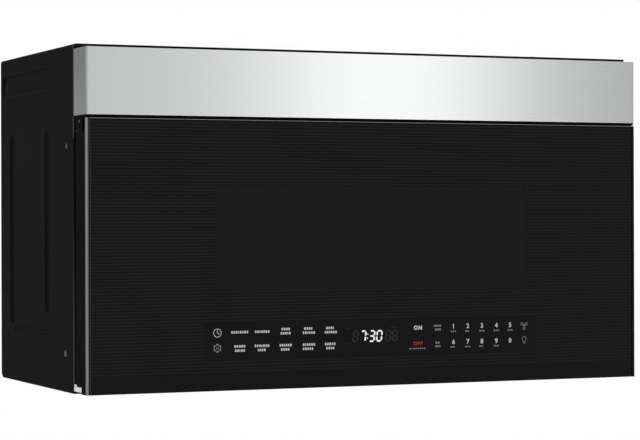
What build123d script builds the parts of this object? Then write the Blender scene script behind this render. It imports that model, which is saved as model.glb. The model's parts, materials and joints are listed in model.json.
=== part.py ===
"""Over-the-range microwave oven with convection and a cooktop hood, as separate pieces.

Millimetres. X runs to the right seen from the front, Y to the rear and Z up. The origin is the centre of
the underside, and the door's glass faces -Y.
"""
from build123d import *
import os
from math import cos, radians, sin

os.makedirs("parts", exist_ok=True)

# ---------------------------------------------------------------- driving dimensions
width = 759.0
depth = 381.0
height = 426.0
half = width / 2
front = -depth / 2
rear = depth / 2

# Casing: a wrap of sheet over the oven, open at the front, the rear and below
sheet = 1.0
case_half = half - 0.5
case_inner = case_half - sheet
case_front = front + 51.6
case_bend = 4.0
press_depth = 2.0
press_taper = 35.0
base_sheet = 1.2
base_rear = rear - 7.0
plate_half = case_inner - 0.2
side_screw_places = [(-110.5, 302.0), (-104.0, 47.4)]
top_screw_x, top_screw_y = 260.0, -126.0
top_screw_head = 8.0
screw_dimple, bushing_dimple = 21.0, 34.0
dimple_floor = height - press_depth
side_screw_hole = 2.2
plate_screw_hole = 2.05
cord_x, cord_y = 300.0, 150.0
cord_bore = 9.0
bolt_spacing = 400.0
bolt_y = -60.0
bolt_thread_radius = 2.6

# Top band and grille
band_bottom, band_top = 337.8, 419.0
band_sheet = 1.0
grille_front = front + 20.0
grille_bottom, grille_top = 419.3, 423.3

# Oven cavity, inside faces
cavity_left, cavity_right = -300.0, 240.0
cavity_floor, cavity_ceiling = 62.0, 288.0
cavity_back = 165.0
cavity_sheet = 1.0
front_plate_bottom = 12.0
front_plate_back = case_front + 0.1 + sheet
turn_x = (cavity_left + cavity_right) / 2
turn_y = 12.0

# Door
door_half = half - 0.2
glass_thickness = 4.0
lip_depth = 21.0
door_depth = 50.0
door_bottom, door_top = 1.5, 333.8
rear_bottom, rear_top = 12.0, 317.0
skin_back = 7.5
trim_width = 4.7
window_half = 216.0
window_low, window_high = 122.0, 255.0
controls_half = 232.0
controls_low, controls_high = 34.0, 90.0

# Door hinge
pin_x = -half + 11.0
pin_y = front + 36.0
pin_radius = 3.0
running_clearance = 0.08
slide_clearance = 0.35
leaf_right = -335.0
lower_leaf_bottom, lower_leaf_top = 3.4, 9.4
upper_leaf_bottom, upper_leaf_top = 317.6, 320.6
bracket_flange = 2.0
screw_columns = (-365.0, -346.0)
lower_screw_z, upper_screw_z = 30.0, 342.0
screw_rows = (lower_screw_z, upper_screw_z)
hinge_screw_places = [(column, row) for column in screw_columns for row in screw_rows]

# Door latch
latch_x = 320.0
latch_thickness = 4.0
hook_heights = [138.0, 238.0]
hook_height = 8.0
hook_tip_y = -118.0

# Fans
blower_y, blower_z = 135.0, 364.5
blower_radius = 52.0
blower_inner_end, blower_outer_end = 47.0, 125.0
blower_shaft = 4.0
cooling_x, cooling_y, cooling_z = 309.5, 150.0, 220.0
convection_y, convection_z = 13.0, 175.0
convection_depth = 32.0

# Turntable
tray_radius = 142.0
roller_radius = 8.0
roller_track = 99.0
roller_gap = 0.3
roller_z = cavity_floor + roller_radius + roller_gap
tray_underside = roller_z + roller_radius + roller_gap
shaft_radius = 3.5

# High-voltage side, right of the cavity
guide_right = 267.0
guide_wall = 1.2
guide_y_low, guide_y_high = -25.0, 65.0
tube_y, tube_z = 20.0, 250.0


# ---------------------------------------------------------------- helpers
def facing(y):
    """A plane at depth y whose normal points to the front, with X right and Z up."""
    return Plane(origin=(0, y, 0), x_dir=(1, 0, 0), z_dir=(0, -1, 0))


def side(x):
    """A plane at x whose normal points to the right, with Y and Z as its own axes."""
    return Plane(origin=(x, 0, 0), x_dir=(0, 1, 0), z_dir=(1, 0, 0))


def level(z):
    """A horizontal plane at height z."""
    return Plane.XY.offset(z)


def block(x_limits, y_limits, z_limits, mode=Mode.ADD):
    """A block that fills the given limits in X, Y and Z."""
    limits = (x_limits, y_limits, z_limits)
    centre = tuple((low + high) / 2 for low, high in limits)
    with Locations(centre):
        Box(*[high - low for low, high in limits], mode=mode)


def disc(plane, centre, radius, amount, mode=Mode.ADD):
    """A round pin or hole that grows from a plane by the given amount."""
    with BuildSketch(plane) as outline:
        with Locations(centre):
            Circle(radius)
    extrude(outline.sketch, amount=amount, mode=mode)


def shell_box(x_limits, y_limits, z_limits, wall):
    """A closed box of sheet with the given wall."""
    block(x_limits, y_limits, z_limits)
    inner = [(low + wall, high - wall) for low, high in (x_limits, y_limits, z_limits)]
    block(*inner, mode=Mode.SUBTRACT)


def press(plane, inward, centre, size, corner):
    """A groove pressed into sheet: sunk on the outer face and raised on the inner one."""
    with BuildSketch(plane) as raised:
        with Locations(centre):
            RectangleRounded(size[0] + 2 * sheet, size[1] + 2 * sheet, corner + sheet)
    extrude(raised.sketch, amount=inward * (press_depth + sheet), taper=press_taper)
    with BuildSketch(plane) as sunk:
        with Locations(centre):
            RectangleRounded(size[0], size[1], corner)
    extrude(sunk.sketch, amount=inward * press_depth, taper=press_taper, mode=Mode.SUBTRACT)


def at_front(offset):
    """The Y of a plane this far behind the face of the glass."""
    return front + offset


def finish(builder, name):
    """Label a finished piece and write it under its own name."""
    builder.part.label = name
    export_step(builder.part, f"parts/{name}.step")


# ================================================================ casing
# Wrap of painted sheet: two sides and a top, with the pressed grooves of the sides
groove_rear = ((136.5, 198.5), (22.0, 249.0))
groove_front = ((-23.5, 209.5), (20.0, 229.0))
groove_upper = ((69.8, 389.0), (223.5, 28.0))
bead_low = ((40.0, 69.5), (175.0, 6.5))
side_slot = ((173.0, 389.0), (15.0, 21.0))
exhaust_low, exhaust_high = 93.0, 176.0
exhaust_half = 127.0

with BuildPart() as outer_case:
    with BuildSketch(facing(rear)) as wrap_outline:
        Rectangle(2 * case_half, height, align=(Align.CENTER, Align.MIN))
        fillet(wrap_outline.vertices().group_by(Axis.Y)[-1], case_bend)
    extrude(amount=rear - case_front)
    with BuildSketch(facing(rear)) as wrap_hollow:
        Rectangle(2 * case_inner, height - sheet, align=(Align.CENTER, Align.MIN))
        fillet(wrap_hollow.vertices().group_by(Axis.Y)[-1], case_bend - sheet)
    extrude(amount=rear - case_front, mode=Mode.SUBTRACT)
    for sign in (-1, 1):
        wall_face = side(sign * case_half)
        for groove_centre, groove_size in (groove_rear, groove_front, groove_upper):
            press(wall_face, -sign, groove_centre, groove_size, 8.0)
        press(wall_face, -sign, *bead_low, 3.0)
        with BuildSketch(wall_face):
            with Locations(side_slot[0]):
                Rectangle(*side_slot[1])
            with Locations((175.5, 72.7)):
                Rectangle(3.0, 12.0)
            with Locations((161.5, 20.0)):
                Circle(2.5)
            with Locations(*side_screw_places):
                Circle(side_screw_hole)
        extrude(amount=-sign * 5 * sheet, mode=Mode.SUBTRACT)
    # dimples of the top that sink a screw head and the flange of the cord bushing
    dimples = ((top_screw_x, top_screw_y, screw_dimple), (cord_x, cord_y, bushing_dimple))
    for dimple_x, dimple_y, dimple_size in dimples:
        press(level(height), -1, (dimple_x, dimple_y), (dimple_size, dimple_size), dimple_size / 2 - 1)
    rear_feet = outer_case.edges().filter_by(Axis.X).group_by(Axis.Z)[0].group_by(Axis.Y)[-1]
    chamfer(rear_feet, 6.0)
    with BuildSketch(level(height)):
        with Locations((0, (exhaust_low + exhaust_high) / 2)):
            RectangleRounded(2 * exhaust_half, exhaust_high - exhaust_low, 6.0)
        with Locations((-bolt_spacing / 2, bolt_y), (bolt_spacing / 2, bolt_y)):
            Circle(5.5)
        with Locations((cord_x, cord_y)):
            Circle(12.5)
        with Locations((top_screw_x, top_screw_y)):
            Circle(side_screw_hole)
    extrude(amount=-5 * sheet, mode=Mode.SUBTRACT)
finish(outer_case, "outer_case")

# Channel under the top that takes the two bolts from the cabinet above
channel_half_x, channel_half_y = 250.0, 15.0
channel_low = 411.0
channel_sheet = 2.0
channel_top = height - sheet
nut_height = 8.0
with BuildPart() as top_support_bracket:
    channel_y = (bolt_y - channel_half_y, bolt_y + channel_half_y)
    block((-channel_half_x, channel_half_x), channel_y, (channel_low, channel_top))
    groove_y = (channel_y[0] + channel_sheet, channel_y[1] - channel_sheet)
    groove_z = (channel_low, channel_top - channel_sheet)
    block((-channel_half_x, channel_half_x), groove_y, groove_z, mode=Mode.SUBTRACT)
    nut_places = [(-bolt_spacing / 2, bolt_y), (bolt_spacing / 2, bolt_y)]
    with BuildSketch(level(groove_z[1])):
        with Locations(*nut_places):
            RegularPolygon(8.0, 6)
    extrude(amount=-nut_height)
    with BuildSketch(level(channel_top)):
        with Locations(*nut_places):
            Circle(bolt_thread_radius)
    extrude(amount=-channel_sheet - nut_height, mode=Mode.SUBTRACT)
finish(top_support_bracket, "top_support_bracket")

# Back panel, with stiffening panels and the slots that hang on the wall plate's tabs
back_low = 7.0
with BuildPart() as back_panel:
    block((-case_inner + 0.1, case_inner - 0.1), (rear - 1.2, rear), (back_low, height - sheet - 0.1))
    fillet(back_panel.edges().filter_by(Axis.Y).group_by(Axis.Z)[-1], case_bend)
    for panel_x in (-250.0, 0.0, 250.0):
        press(facing(rear), 1, (panel_x, 150.0), (190.0, 170.0), 12.0)
    with BuildSketch(facing(rear)):
        with Locations((-240.0, 30.0), (0.0, 30.0), (240.0, 30.0)):
            SlotOverall(52.0, 8.0)
    extrude(amount=3 * sheet, mode=Mode.SUBTRACT)
finish(back_panel, "back_panel")

# Base plate: filter openings, lamp window and the inlet slots below the component bay
filter_x = 135.0
filter_y = 65.0
filter_size = (230.0, 130.0)
lens_size = (180.0, 50.0)
lens_y = -90.0
rim = 8.0
with BuildPart() as base_plate:
    base_y = (case_front, base_rear)
    block((-case_inner + 0.1, case_inner - 0.1), base_y, (0, base_sheet))
    block((-plate_half, plate_half), (case_front, case_front + sheet), (0, front_plate_bottom))
    block((-plate_half, plate_half), (base_rear - sheet, base_rear), (0, front_plate_bottom))
    for sign in (-1, 1):
        edge = sorted((sign * plate_half, sign * (plate_half - sheet)))
        block(edge, base_y, (0, front_plate_bottom))
    leaf_gap_z = (base_sheet, front_plate_bottom + 1)
    block((-case_half, leaf_right + 1.0), (case_front - 1, case_front + 6), leaf_gap_z, mode=Mode.SUBTRACT)
    with BuildSketch(level(base_sheet)):
        with Locations((-filter_x, filter_y), (filter_x, filter_y)):
            RectangleRounded(filter_size[0] - 2 * rim, filter_size[1] - 2 * rim, 4.0)
        with Locations((0, lens_y)):
            RectangleRounded(lens_size[0] - 2 * rim, lens_size[1] - 2 * rim, 6.0)
        with Locations((cooling_x + 4, 90.0)):
            with GridLocations(0, 8.0, 1, 10):
                SlotOverall(90.0, 4.0)
    extrude(amount=-base_sheet, mode=Mode.SUBTRACT)
finish(base_plate, "base_plate")

# Screws of the wrap: heads with their shanks, two on each side and one in the top's dimple
shank_radius, shank_length = 2.0, 6.0
with BuildPart() as case_screws:
    for sign in (-1, 1):
        for screw_place in side_screw_places:
            disc(side(sign * case_half), screw_place, 4.0, sign * 0.5)
            disc(side(sign * case_half), screw_place, shank_radius, -sign * shank_length)
    disc(level(dimple_floor), (top_screw_x, top_screw_y), top_screw_head, press_depth + 1.0)
    disc(level(dimple_floor), (top_screw_x, top_screw_y), shank_radius, -shank_length)
finish(case_screws, "case_screws")

# Bushing of the supply lead, snapped into its dimple of the top
bushing_flange = 15.0
bushing_length = 12.0
with BuildPart() as cord_bushing:
    disc(level(dimple_floor), (cord_x, cord_y), bushing_flange, press_depth)
    disc(level(dimple_floor), (cord_x, cord_y), 12.3, -bushing_length)
    disc(level(height), (cord_x, cord_y), cord_bore, -press_depth - bushing_length, mode=Mode.SUBTRACT)
finish(cord_bushing, "cord_bushing")

# Top band of brushed steel, turned back at both ends and along both edges
band_back = case_front - 0.1
with BuildPart() as top_vent_band:
    block((-half, half), (front, band_back), (band_bottom, band_top))
    corner_edges = top_vent_band.edges().filter_by(Axis.Z).group_by(Axis.Y)[0]
    fillet(corner_edges, 2.5)
    inner_half = half - band_sheet
    inner_z = (band_bottom + band_sheet, band_top - band_sheet)
    block((-inner_half, inner_half), (front + band_sheet, band_back), inner_z, mode=Mode.SUBTRACT)
    top_cut = (band_top - 2 * band_sheet, band_top + band_sheet)
    block((-inner_half, inner_half), (grille_front + 4, band_back), top_cut, mode=Mode.SUBTRACT)
    bottom_cut = (band_bottom - band_sheet, band_bottom + 2 * band_sheet)
    block((-inner_half, inner_half), (front + 25, band_back), bottom_cut, mode=Mode.SUBTRACT)
finish(top_vent_band, "top_vent_band")

# Vent grille that lies between the band and the wrap, slotted for the returned air. Two posts behind the
# band join it to a sill, which closes the gap over the door
grille_half = half - 4.0
grille_back = case_front - 0.2
sill_half = half - 0.9
sill_front = front + 1.6
sill_z = (door_top + 1.0, band_bottom - 0.1)
post_front = front + 27.0
post_thickness = 3.0
with BuildPart() as top_vent_grille:
    block((-grille_half, grille_half), (grille_front, grille_back), (grille_bottom, grille_top))
    lip_z = (grille_bottom - 14, grille_bottom)
    block((-plate_half + 1, plate_half - 1), (grille_back - 3.0, grille_back), lip_z)
    block((-sill_half, sill_half), (sill_front, grille_back), sill_z)
    for sign in (-1, 1):
        post_x = sorted((sign * grille_half, sign * (grille_half - post_thickness)))
        block(post_x, (post_front, grille_back), (sill_z[1], grille_bottom))
    with BuildSketch(level(grille_top)):
        with Locations((0, grille_front + 14.5)):
            with GridLocations(27.5, 0, 26, 1):
                RectangleRounded(23.0, 18.0, 2.0)
    extrude(amount=grille_bottom - grille_top, mode=Mode.SUBTRACT)
finish(top_vent_grille, "top_vent_grille")

# ================================================================ air path
# Charcoal filter behind the front plate: a frame with a honeycomb core
charcoal_half, charcoal_low, charcoal_high = 228.0, 336.0, 406.0
charcoal_back = front_plate_back + 13.0
with BuildPart() as charcoal_filter:
    block((-charcoal_half, charcoal_half), (front_plate_back, charcoal_back), (charcoal_low, charcoal_high))
    with BuildSketch(facing(charcoal_back)):
        with Locations((0, (charcoal_low + charcoal_high) / 2)):
            with GridLocations(13.0, 13.0, 33, 4):
                RegularPolygon(5.6, 6)
    extrude(amount=13.0, mode=Mode.SUBTRACT)
finish(charcoal_filter, "charcoal_filter")

# Duct from the vent blower over the cavity to the charcoal filter, open at both ends
cavity_top = cavity_ceiling + cavity_sheet
duct_back = blower_y - blower_radius - 4.0
with BuildPart() as vent_duct:
    duct_y = (charcoal_back, duct_back)
    block((-charcoal_half, charcoal_half), duct_y, (cavity_top, charcoal_high))
    duct_inner = charcoal_half - base_sheet
    block((-duct_inner, duct_inner), duct_y, (cavity_top, charcoal_high - base_sheet), mode=Mode.SUBTRACT)
finish(vent_duct, "vent_duct")

# Grease filters: aluminium frames around a pierced sheet, dropped into the base
filter_low, filter_high = base_sheet, base_sheet + 6.0
for filter_name, filter_sign in (("grease_filter_left", -1), ("grease_filter_right", 1)):
    with BuildPart() as grease_filter:
        with BuildSketch(level(filter_low)):
            with Locations((filter_sign * filter_x, filter_y)):
                RectangleRounded(filter_size[0], filter_size[1], 5.0)
        extrude(amount=filter_high - filter_low)
        with BuildSketch(level(filter_low + 2.0)):
            with Locations((filter_sign * filter_x, filter_y)):
                RectangleRounded(filter_size[0] - 2 * rim, filter_size[1] - 2 * rim, 4.0)
        extrude(amount=filter_high, mode=Mode.SUBTRACT)
        with BuildSketch(level(filter_low)):
            with Locations((filter_sign * filter_x, filter_y)):
                with GridLocations(11.4, 11.4, 18, 9):
                    Rectangle(8.4, 8.4)
        extrude(amount=2.0, mode=Mode.SUBTRACT)
    finish(grease_filter, filter_name)

# Cooktop light: lens in the base with two lamp modules above it
with BuildPart() as cooktop_light_lens:
    with BuildSketch(level(base_sheet)):
        with Locations((0, lens_y)):
            RectangleRounded(lens_size[0], lens_size[1], 8.0)
    extrude(amount=2.0)
    with BuildSketch(level(base_sheet)):
        with Locations((0, lens_y)):
            RectangleRounded(lens_size[0] - 2 * rim - 0.6, lens_size[1] - 2 * rim - 0.6, 6.0)
    extrude(amount=-0.8)
finish(cooktop_light_lens, "cooktop_light_lens")

lamp_floor = base_sheet + 2.0
with BuildPart() as cooktop_lamps:
    for lamp_x in (-45.0, 45.0):
        for wall, lamp_mode in ((0.0, Mode.ADD), (2.0, Mode.SUBTRACT)):
            lamp_box_x = (lamp_x - 22.0 + wall, lamp_x + 22.0 - wall)
            lamp_box_y = (lens_y - 14.0 + wall, lens_y + 14.0 - wall)
            block(lamp_box_x, lamp_box_y, (lamp_floor, lamp_floor + 16.0 - wall), lamp_mode)
        disc(level(lamp_floor + 14), (lamp_x, lens_y), 7.0, -4.0)
finish(cooktop_lamps, "cooktop_lamps")

# Vent blower: two scroll housings side by side, with their motor between them
scroll_top = height - sheet - 0.2
scroll_wall = 1.2
scroll_ends = ((-blower_outer_end, -blower_inner_end), (blower_inner_end, blower_outer_end))
with BuildPart() as vent_blower_housing:
    for inner_end, outer_end in scroll_ends:
        for scroll_radius, wall, scroll_mode in ((blower_radius, 0, Mode.ADD),
                                                 (blower_radius - scroll_wall, scroll_wall, Mode.SUBTRACT)):
            with BuildSketch(side(inner_end + wall)):
                with Locations((blower_y, blower_z)):
                    Circle(scroll_radius)
                    Rectangle(2 * scroll_radius, scroll_top - blower_z, align=(Align.CENTER, Align.MIN))
            extrude(amount=outer_end - inner_end - 2 * wall, mode=scroll_mode)
        with BuildSketch(side(inner_end)):
            with Locations((blower_y, blower_z)):
                Circle(34.0)
        extrude(amount=outer_end - inner_end, mode=Mode.SUBTRACT)
        for foot_x in (inner_end, outer_end - scroll_wall):
            foot_z = (cavity_top, blower_z - 48.0)
            block((foot_x, foot_x + scroll_wall), (blower_y - 25, blower_y + 25), foot_z)
finish(vent_blower_housing, "vent_blower_housing")

with BuildPart() as vent_blower_motor:
    disc(side(-40.0), (blower_y, blower_z), 32.0, 80.0)
    fillet(vent_blower_motor.edges().filter_by(GeomType.CIRCLE), 5.0)
    for arm_start in (-blower_inner_end, blower_inner_end - 8.0):
        with BuildSketch(side(arm_start)):
            with Locations((blower_y, blower_z)):
                with PolarLocations(0, 3, start_angle=90):
                    Rectangle(44.0, 9.0, align=(Align.MIN, Align.CENTER))
                Circle(14.0)
        extrude(amount=8.0)
    blower_bore = blower_shaft + running_clearance
    disc(side(-blower_inner_end), (blower_y, blower_z), blower_bore, 2 * blower_inner_end, Mode.SUBTRACT)
finish(vent_blower_motor, "vent_blower_motor")

wheel_inner, wheel_outer = blower_inner_end + 6.0, blower_outer_end - 6.0
wheel_width = wheel_outer - wheel_inner
with BuildPart() as vent_blower_wheels:
    disc(side(-wheel_outer), (blower_y, blower_z), blower_shaft, 2 * wheel_outer)
    for wheel_start in (-wheel_outer, wheel_inner):
        wheel_middle = wheel_start + wheel_width / 2
        with BuildSketch(side(wheel_middle - 1)):
            with Locations((blower_y, blower_z)):
                Circle(40.0)
        extrude(amount=2.0)
        disc(side(wheel_middle - 9), (blower_y, blower_z), 9.0, 18.0)
        for ring_start in (wheel_start, wheel_start + wheel_width - 3):
            with BuildSketch(side(ring_start)):
                with Locations((blower_y, blower_z)):
                    Circle(41.0)
                    Circle(35.0, mode=Mode.SUBTRACT)
            extrude(amount=3.0)
        with BuildSketch(side(wheel_start)):
            with Locations((blower_y, blower_z)):
                with PolarLocations(38.0, 28):
                    Rectangle(5.0, 1.2, rotation=30)
        extrude(amount=wheel_width)
finish(vent_blower_wheels, "vent_blower_wheels")

# ================================================================ oven cavity
mouth = ((cavity_left, cavity_right), (cavity_floor, cavity_ceiling))
lamp_place = (-70.0, 235.0)
guide_opening = ((tube_y, 179.0), (70.0, 42.0))
with BuildPart() as cavity_liner:
    plate_y = (case_front + 0.1, front_plate_back)
    block((-plate_half, plate_half), plate_y, (front_plate_bottom, height - sheet - 0.6))
    fillet(cavity_liner.edges().filter_by(Axis.Y).group_by(Axis.Z)[-1], case_bend)
    for sign in (-1, 1):
        edge = sorted((sign * plate_half, sign * (plate_half - sheet)))
        block(edge, (plate_y[0], -92.0), (front_plate_bottom + 0.2, height - sheet - 5.0))
    oven_x = (cavity_left - cavity_sheet, cavity_right + cavity_sheet)
    oven_z = (cavity_floor - cavity_sheet, cavity_ceiling + cavity_sheet)
    block(oven_x, (plate_y[0], cavity_back + cavity_sheet), oven_z)
    block(mouth[0], (plate_y[0], cavity_back), mouth[1], mode=Mode.SUBTRACT)
    # openings of the front plate: charcoal filter, latch hooks, hinge leaves
    block((-222.0, 222.0), plate_y, (341.0, 401.0), mode=Mode.SUBTRACT)
    for hook_z in hook_heights:
        block((latch_x - 7, latch_x + 7), plate_y, (hook_z - 12, hook_z + 12), mode=Mode.SUBTRACT)
    leaf_slot_x = (-case_half, leaf_right + 1.0)
    block(leaf_slot_x, (plate_y[0], -130.0), (upper_leaf_bottom - 1, upper_leaf_top + 1), mode=Mode.SUBTRACT)
    # hinge screws, case screws
    with BuildSketch(facing(front_plate_back)):
        with Locations(*hinge_screw_places):
            Circle(plate_screw_hole)
    extrude(amount=2 * sheet, mode=Mode.SUBTRACT)
    for sign in (-1, 1):
        with BuildSketch(side(sign * case_half)):
            with Locations(*side_screw_places):
                Circle(plate_screw_hole)
        extrude(amount=-sign * 4 * sheet, mode=Mode.SUBTRACT)
    # drive shaft, feed opening, lamp holes, and the convection inlet and outlets
    disc(level(cavity_floor), (turn_x, turn_y), 8.0, -cavity_sheet, mode=Mode.SUBTRACT)
    with BuildSketch(side(cavity_right)):
        with Locations(guide_opening[0]):
            Rectangle(*guide_opening[1])
        with Locations(lamp_place):
            with GridLocations(6.0, 6.0, 5, 5):
                Circle(1.6)
        with Locations((125.0, 235.0)):
            with GridLocations(6.0, 6.0, 6, 8):
                Circle(1.8)
    extrude(amount=cavity_sheet, mode=Mode.SUBTRACT)
    with BuildSketch(side(cavity_left)):
        with Locations((convection_y, convection_z)):
            for ring_radius, ring_count in ((10.0, 6), (20.0, 12), (30.0, 18), (40.0, 24)):
                with PolarLocations(ring_radius, ring_count):
                    Circle(3.0)
            Circle(3.0)
            for outlet_y in (-70.0, 70.0):
                with Locations((outlet_y, 0)):
                    with GridLocations(9.0, 9.0, 2, 9):
                        Circle(2.6)
    extrude(amount=-cavity_sheet, mode=Mode.SUBTRACT)
finish(cavity_liner, "cavity_liner")

with BuildPart() as cavity_lamp:
    block((cavity_right + cavity_sheet, cavity_right + 4), (lamp_place[0] - 19, lamp_place[0] + 19),
          (lamp_place[1] - 19, lamp_place[1] + 19))
    disc(side(cavity_right + cavity_sheet), lamp_place, 15.5, 4.0, mode=Mode.SUBTRACT)
    with BuildSketch(side(cavity_right + 4)):
        with Locations(lamp_place):
            Circle(17.0)
            Circle(15.5, mode=Mode.SUBTRACT)
    extrude(amount=14.0)
    disc(side(cavity_right + 18), lamp_place, 17.0, 3.0)
    disc(side(cavity_right + 21), lamp_place, 8.0, 12.0)
    disc(side(cavity_right + 18), lamp_place, 6.0, -9.0)
finish(cavity_lamp, "cavity_lamp")

with BuildPart() as thermal_cutouts:
    disc(side(cavity_right + cavity_sheet), (100.0, 150.0), 9.0, 7.0)
    disc(side(cavity_right + cavity_sheet), (100.0, 110.0), 9.0, 7.0)
    disc(level(cavity_top), (-260.0, 20.0), 9.0, 7.0)
finish(thermal_cutouts, "thermal_cutouts")

# ================================================================ turntable
motor_top = cavity_floor - cavity_sheet
motor_can = (motor_top - 18.0, motor_top - 3.0)
with BuildPart() as turntable_motor:
    disc(level(motor_can[0]), (turn_x, turn_y), 25.0, motor_can[1] - motor_can[0])
    fillet(turntable_motor.edges().filter_by(GeomType.CIRCLE), 1.5)
    for ear in (-1, 1):
        ear_x = sorted((turn_x + ear * 20, turn_x + ear * 36))
        block(ear_x, (turn_y - 8, turn_y + 8), (motor_can[1] - 1.5, motor_can[1]))
        tip_x = sorted((turn_x + ear * 30, turn_x + ear * 36))
        block(tip_x, (turn_y - 8, turn_y + 8), (motor_can[1], motor_top))
    shaft_bore = shaft_radius + running_clearance
    disc(level(motor_can[1]), (turn_x, turn_y), shaft_bore, -13.0, mode=Mode.SUBTRACT)
finish(turntable_motor, "turntable_motor")

coupling_top = tray_underside - 0.2
with BuildPart() as turntable_coupling:
    disc(level(motor_can[1] - 12.5), (turn_x, turn_y), shaft_radius, coupling_top - motor_can[1] + 12.5 - 4)
    disc(level(cavity_floor + 1), (turn_x, turn_y), 14.0, 6.0)
    with BuildSketch(level(cavity_floor + 7)):
        with Locations((turn_x, turn_y)):
            Circle(9.0)
            with PolarLocations(0, 3):
                Rectangle(24.0, 10.0, align=(Align.MIN, Align.CENTER))
    extrude(amount=coupling_top - cavity_floor - 7)
finish(turntable_coupling, "turntable_coupling")

tray_glass = 5.0
tray_rise = 8.0
with BuildPart() as glass_tray:
    with BuildSketch(Plane(origin=(turn_x, turn_y, tray_underside), x_dir=(1, 0, 0), z_dir=(0, -1, 0))):
        with BuildLine():
            Polyline((0, 0), (tray_radius - 16, 0), (tray_radius - 6, tray_rise - 3),
                     (tray_radius, tray_rise), (tray_radius, tray_rise + 3),
                     (tray_radius - 8, tray_rise + 2), (tray_radius - 19, tray_glass),
                     (0, tray_glass), (0, 0))
        make_face()
    revolve(axis=Axis((turn_x, turn_y, 0), (0, 0, 1)))
finish(glass_tray, "glass_tray")

ring_low, ring_high = roller_z - 3.0, roller_z + 3.0
ring_outer = roller_track - 7.0
axle_radius = 2.0
roller_angles = (90.0, 210.0, 330.0)


def roller_plane(angle, distance):
    """A plane square to a roller's axle, this far from the turntable's axis."""
    arm = Vector(1, 0, 0).rotate(Axis.Z, angle)
    return Plane(origin=Vector(turn_x, turn_y, roller_z) + arm * distance, x_dir=(0, 0, 1), z_dir=arm)


with BuildPart() as roller_ring:
    with BuildSketch(level(ring_low)):
        with Locations((turn_x, turn_y)):
            Circle(ring_outer)
            Circle(ring_outer - 7.0, mode=Mode.SUBTRACT)
    extrude(amount=ring_high - ring_low)
    for angle in roller_angles:
        for start, radius, length in ((-3.5, 3.2, 6.2), (-1.0, axle_radius, 13.6), (11.6, 3.2, 1.4)):
            disc(roller_plane(angle, ring_outer + start), (0, 0), radius, length)
finish(roller_ring, "roller_ring")

for number, angle in enumerate(roller_angles, start=1):
    with BuildPart() as roller:
        with BuildSketch(roller_plane(angle, roller_track - 4.0)):
            Circle(roller_radius)
            Circle(axle_radius + running_clearance, mode=Mode.SUBTRACT)
        extrude(amount=8.0)
        chamfer(roller.edges().filter_by(GeomType.CIRCLE).group_by(SortBy.RADIUS)[-1], 1.0)
    finish(roller, f"roller_{number}")

# ================================================================ microwave source
with BuildPart() as waveguide:
    guide_limits = ((cavity_right + cavity_sheet, guide_right), (guide_y_low, guide_y_high), (150.0, 290.0))
    block(*guide_limits)
    guide_hollow = [(low + guide_wall, high - guide_wall) for low, high in guide_limits]
    block((guide_limits[0][0], guide_hollow[0][1]), *guide_hollow[1:], mode=Mode.SUBTRACT)
    disc(side(guide_right), (tube_y, tube_z), 12.0, -guide_wall, mode=Mode.SUBTRACT)
finish(waveguide, "waveguide")

with BuildPart() as waveguide_cover:
    block((cavity_right - 0.6, cavity_right), (tube_y - 42, tube_y + 42), (154.0, 204.0))
finish(waveguide_cover, "waveguide_cover")

yoke_left, yoke_right = guide_right + 2.5, guide_right + 67.0
with BuildPart() as magnetron:
    block((guide_right, yoke_left), (guide_y_low, guide_y_high), (215.0, 285.0))
    disc(side(guide_right), (tube_y, tube_z), 9.0, -19.0)
    shell_box((yoke_left, yoke_right), (tube_y - 38, tube_y + 38), (218.0, 282.0), 2.0)
    block((yoke_left + 2, yoke_right - 2), (tube_y - 40, tube_y + 40), (220.0, 280.0), mode=Mode.SUBTRACT)
    disc(side(yoke_left), (tube_y, tube_z), 19.0, yoke_right - yoke_left)
    for fin in range(10):
        fin_x = yoke_left + 9.0 + 5.0 * fin
        block((fin_x, fin_x + 0.8), (tube_y - 36, tube_y + 36), (219.0, 281.0))
    block((yoke_right, yoke_right + 28), (tube_y - 25, tube_y + 25), (226.0, 274.0))
finish(magnetron, "magnetron")

with BuildPart() as high_voltage_transformer:
    core_x, core_y, core_z = (265.0, 365.0), (-60.0, 0.0), (base_sheet + 2, base_sheet + 86)
    block(core_x, core_y, core_z)
    for window_x in (282.0, 330.0):
        block((window_x, window_x + 18), core_y, (core_z[0] + 18, core_z[1] - 18), mode=Mode.SUBTRACT)
    block((258.0, 372.0), (core_y[0] + 10, core_y[1] - 10), (base_sheet, core_z[0]))
    coil_box = ((283.0, 347.0), (core_y[0] - 18, core_y[1] + 18), (core_z[0] + 19, core_z[1] - 19))
    block(*coil_box)
    coil_ends = high_voltage_transformer.edges().filter_by(Axis.Z).filter_by_position(
        Axis.Y, core_y[1] + 17, core_y[1] + 19)
    fillet(coil_ends, 10.0)
    coil_fronts = high_voltage_transformer.edges().filter_by(Axis.Z).filter_by_position(
        Axis.Y, core_y[0] - 19, core_y[0] - 17)
    fillet(coil_fronts, 10.0)
finish(high_voltage_transformer, "high_voltage_transformer")

capacitor_top = 88.0
with BuildPart() as high_voltage_capacitor:
    with BuildSketch(level(base_sheet)):
        with Locations((290.0, -106.0)):
            SlotOverall(54.0, 32.0)
    extrude(amount=capacitor_top - base_sheet)
    for post_x in (278.0, 302.0):
        disc(level(capacitor_top), (post_x, -106.0), 3.0, 8.0)
finish(high_voltage_capacitor, "high_voltage_capacitor")

with BuildPart() as high_voltage_diode:
    disc(side(282.0), (-106.0, capacitor_top + 4.0), 3.5, 16.0)
finish(high_voltage_diode, "high_voltage_diode")

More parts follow.
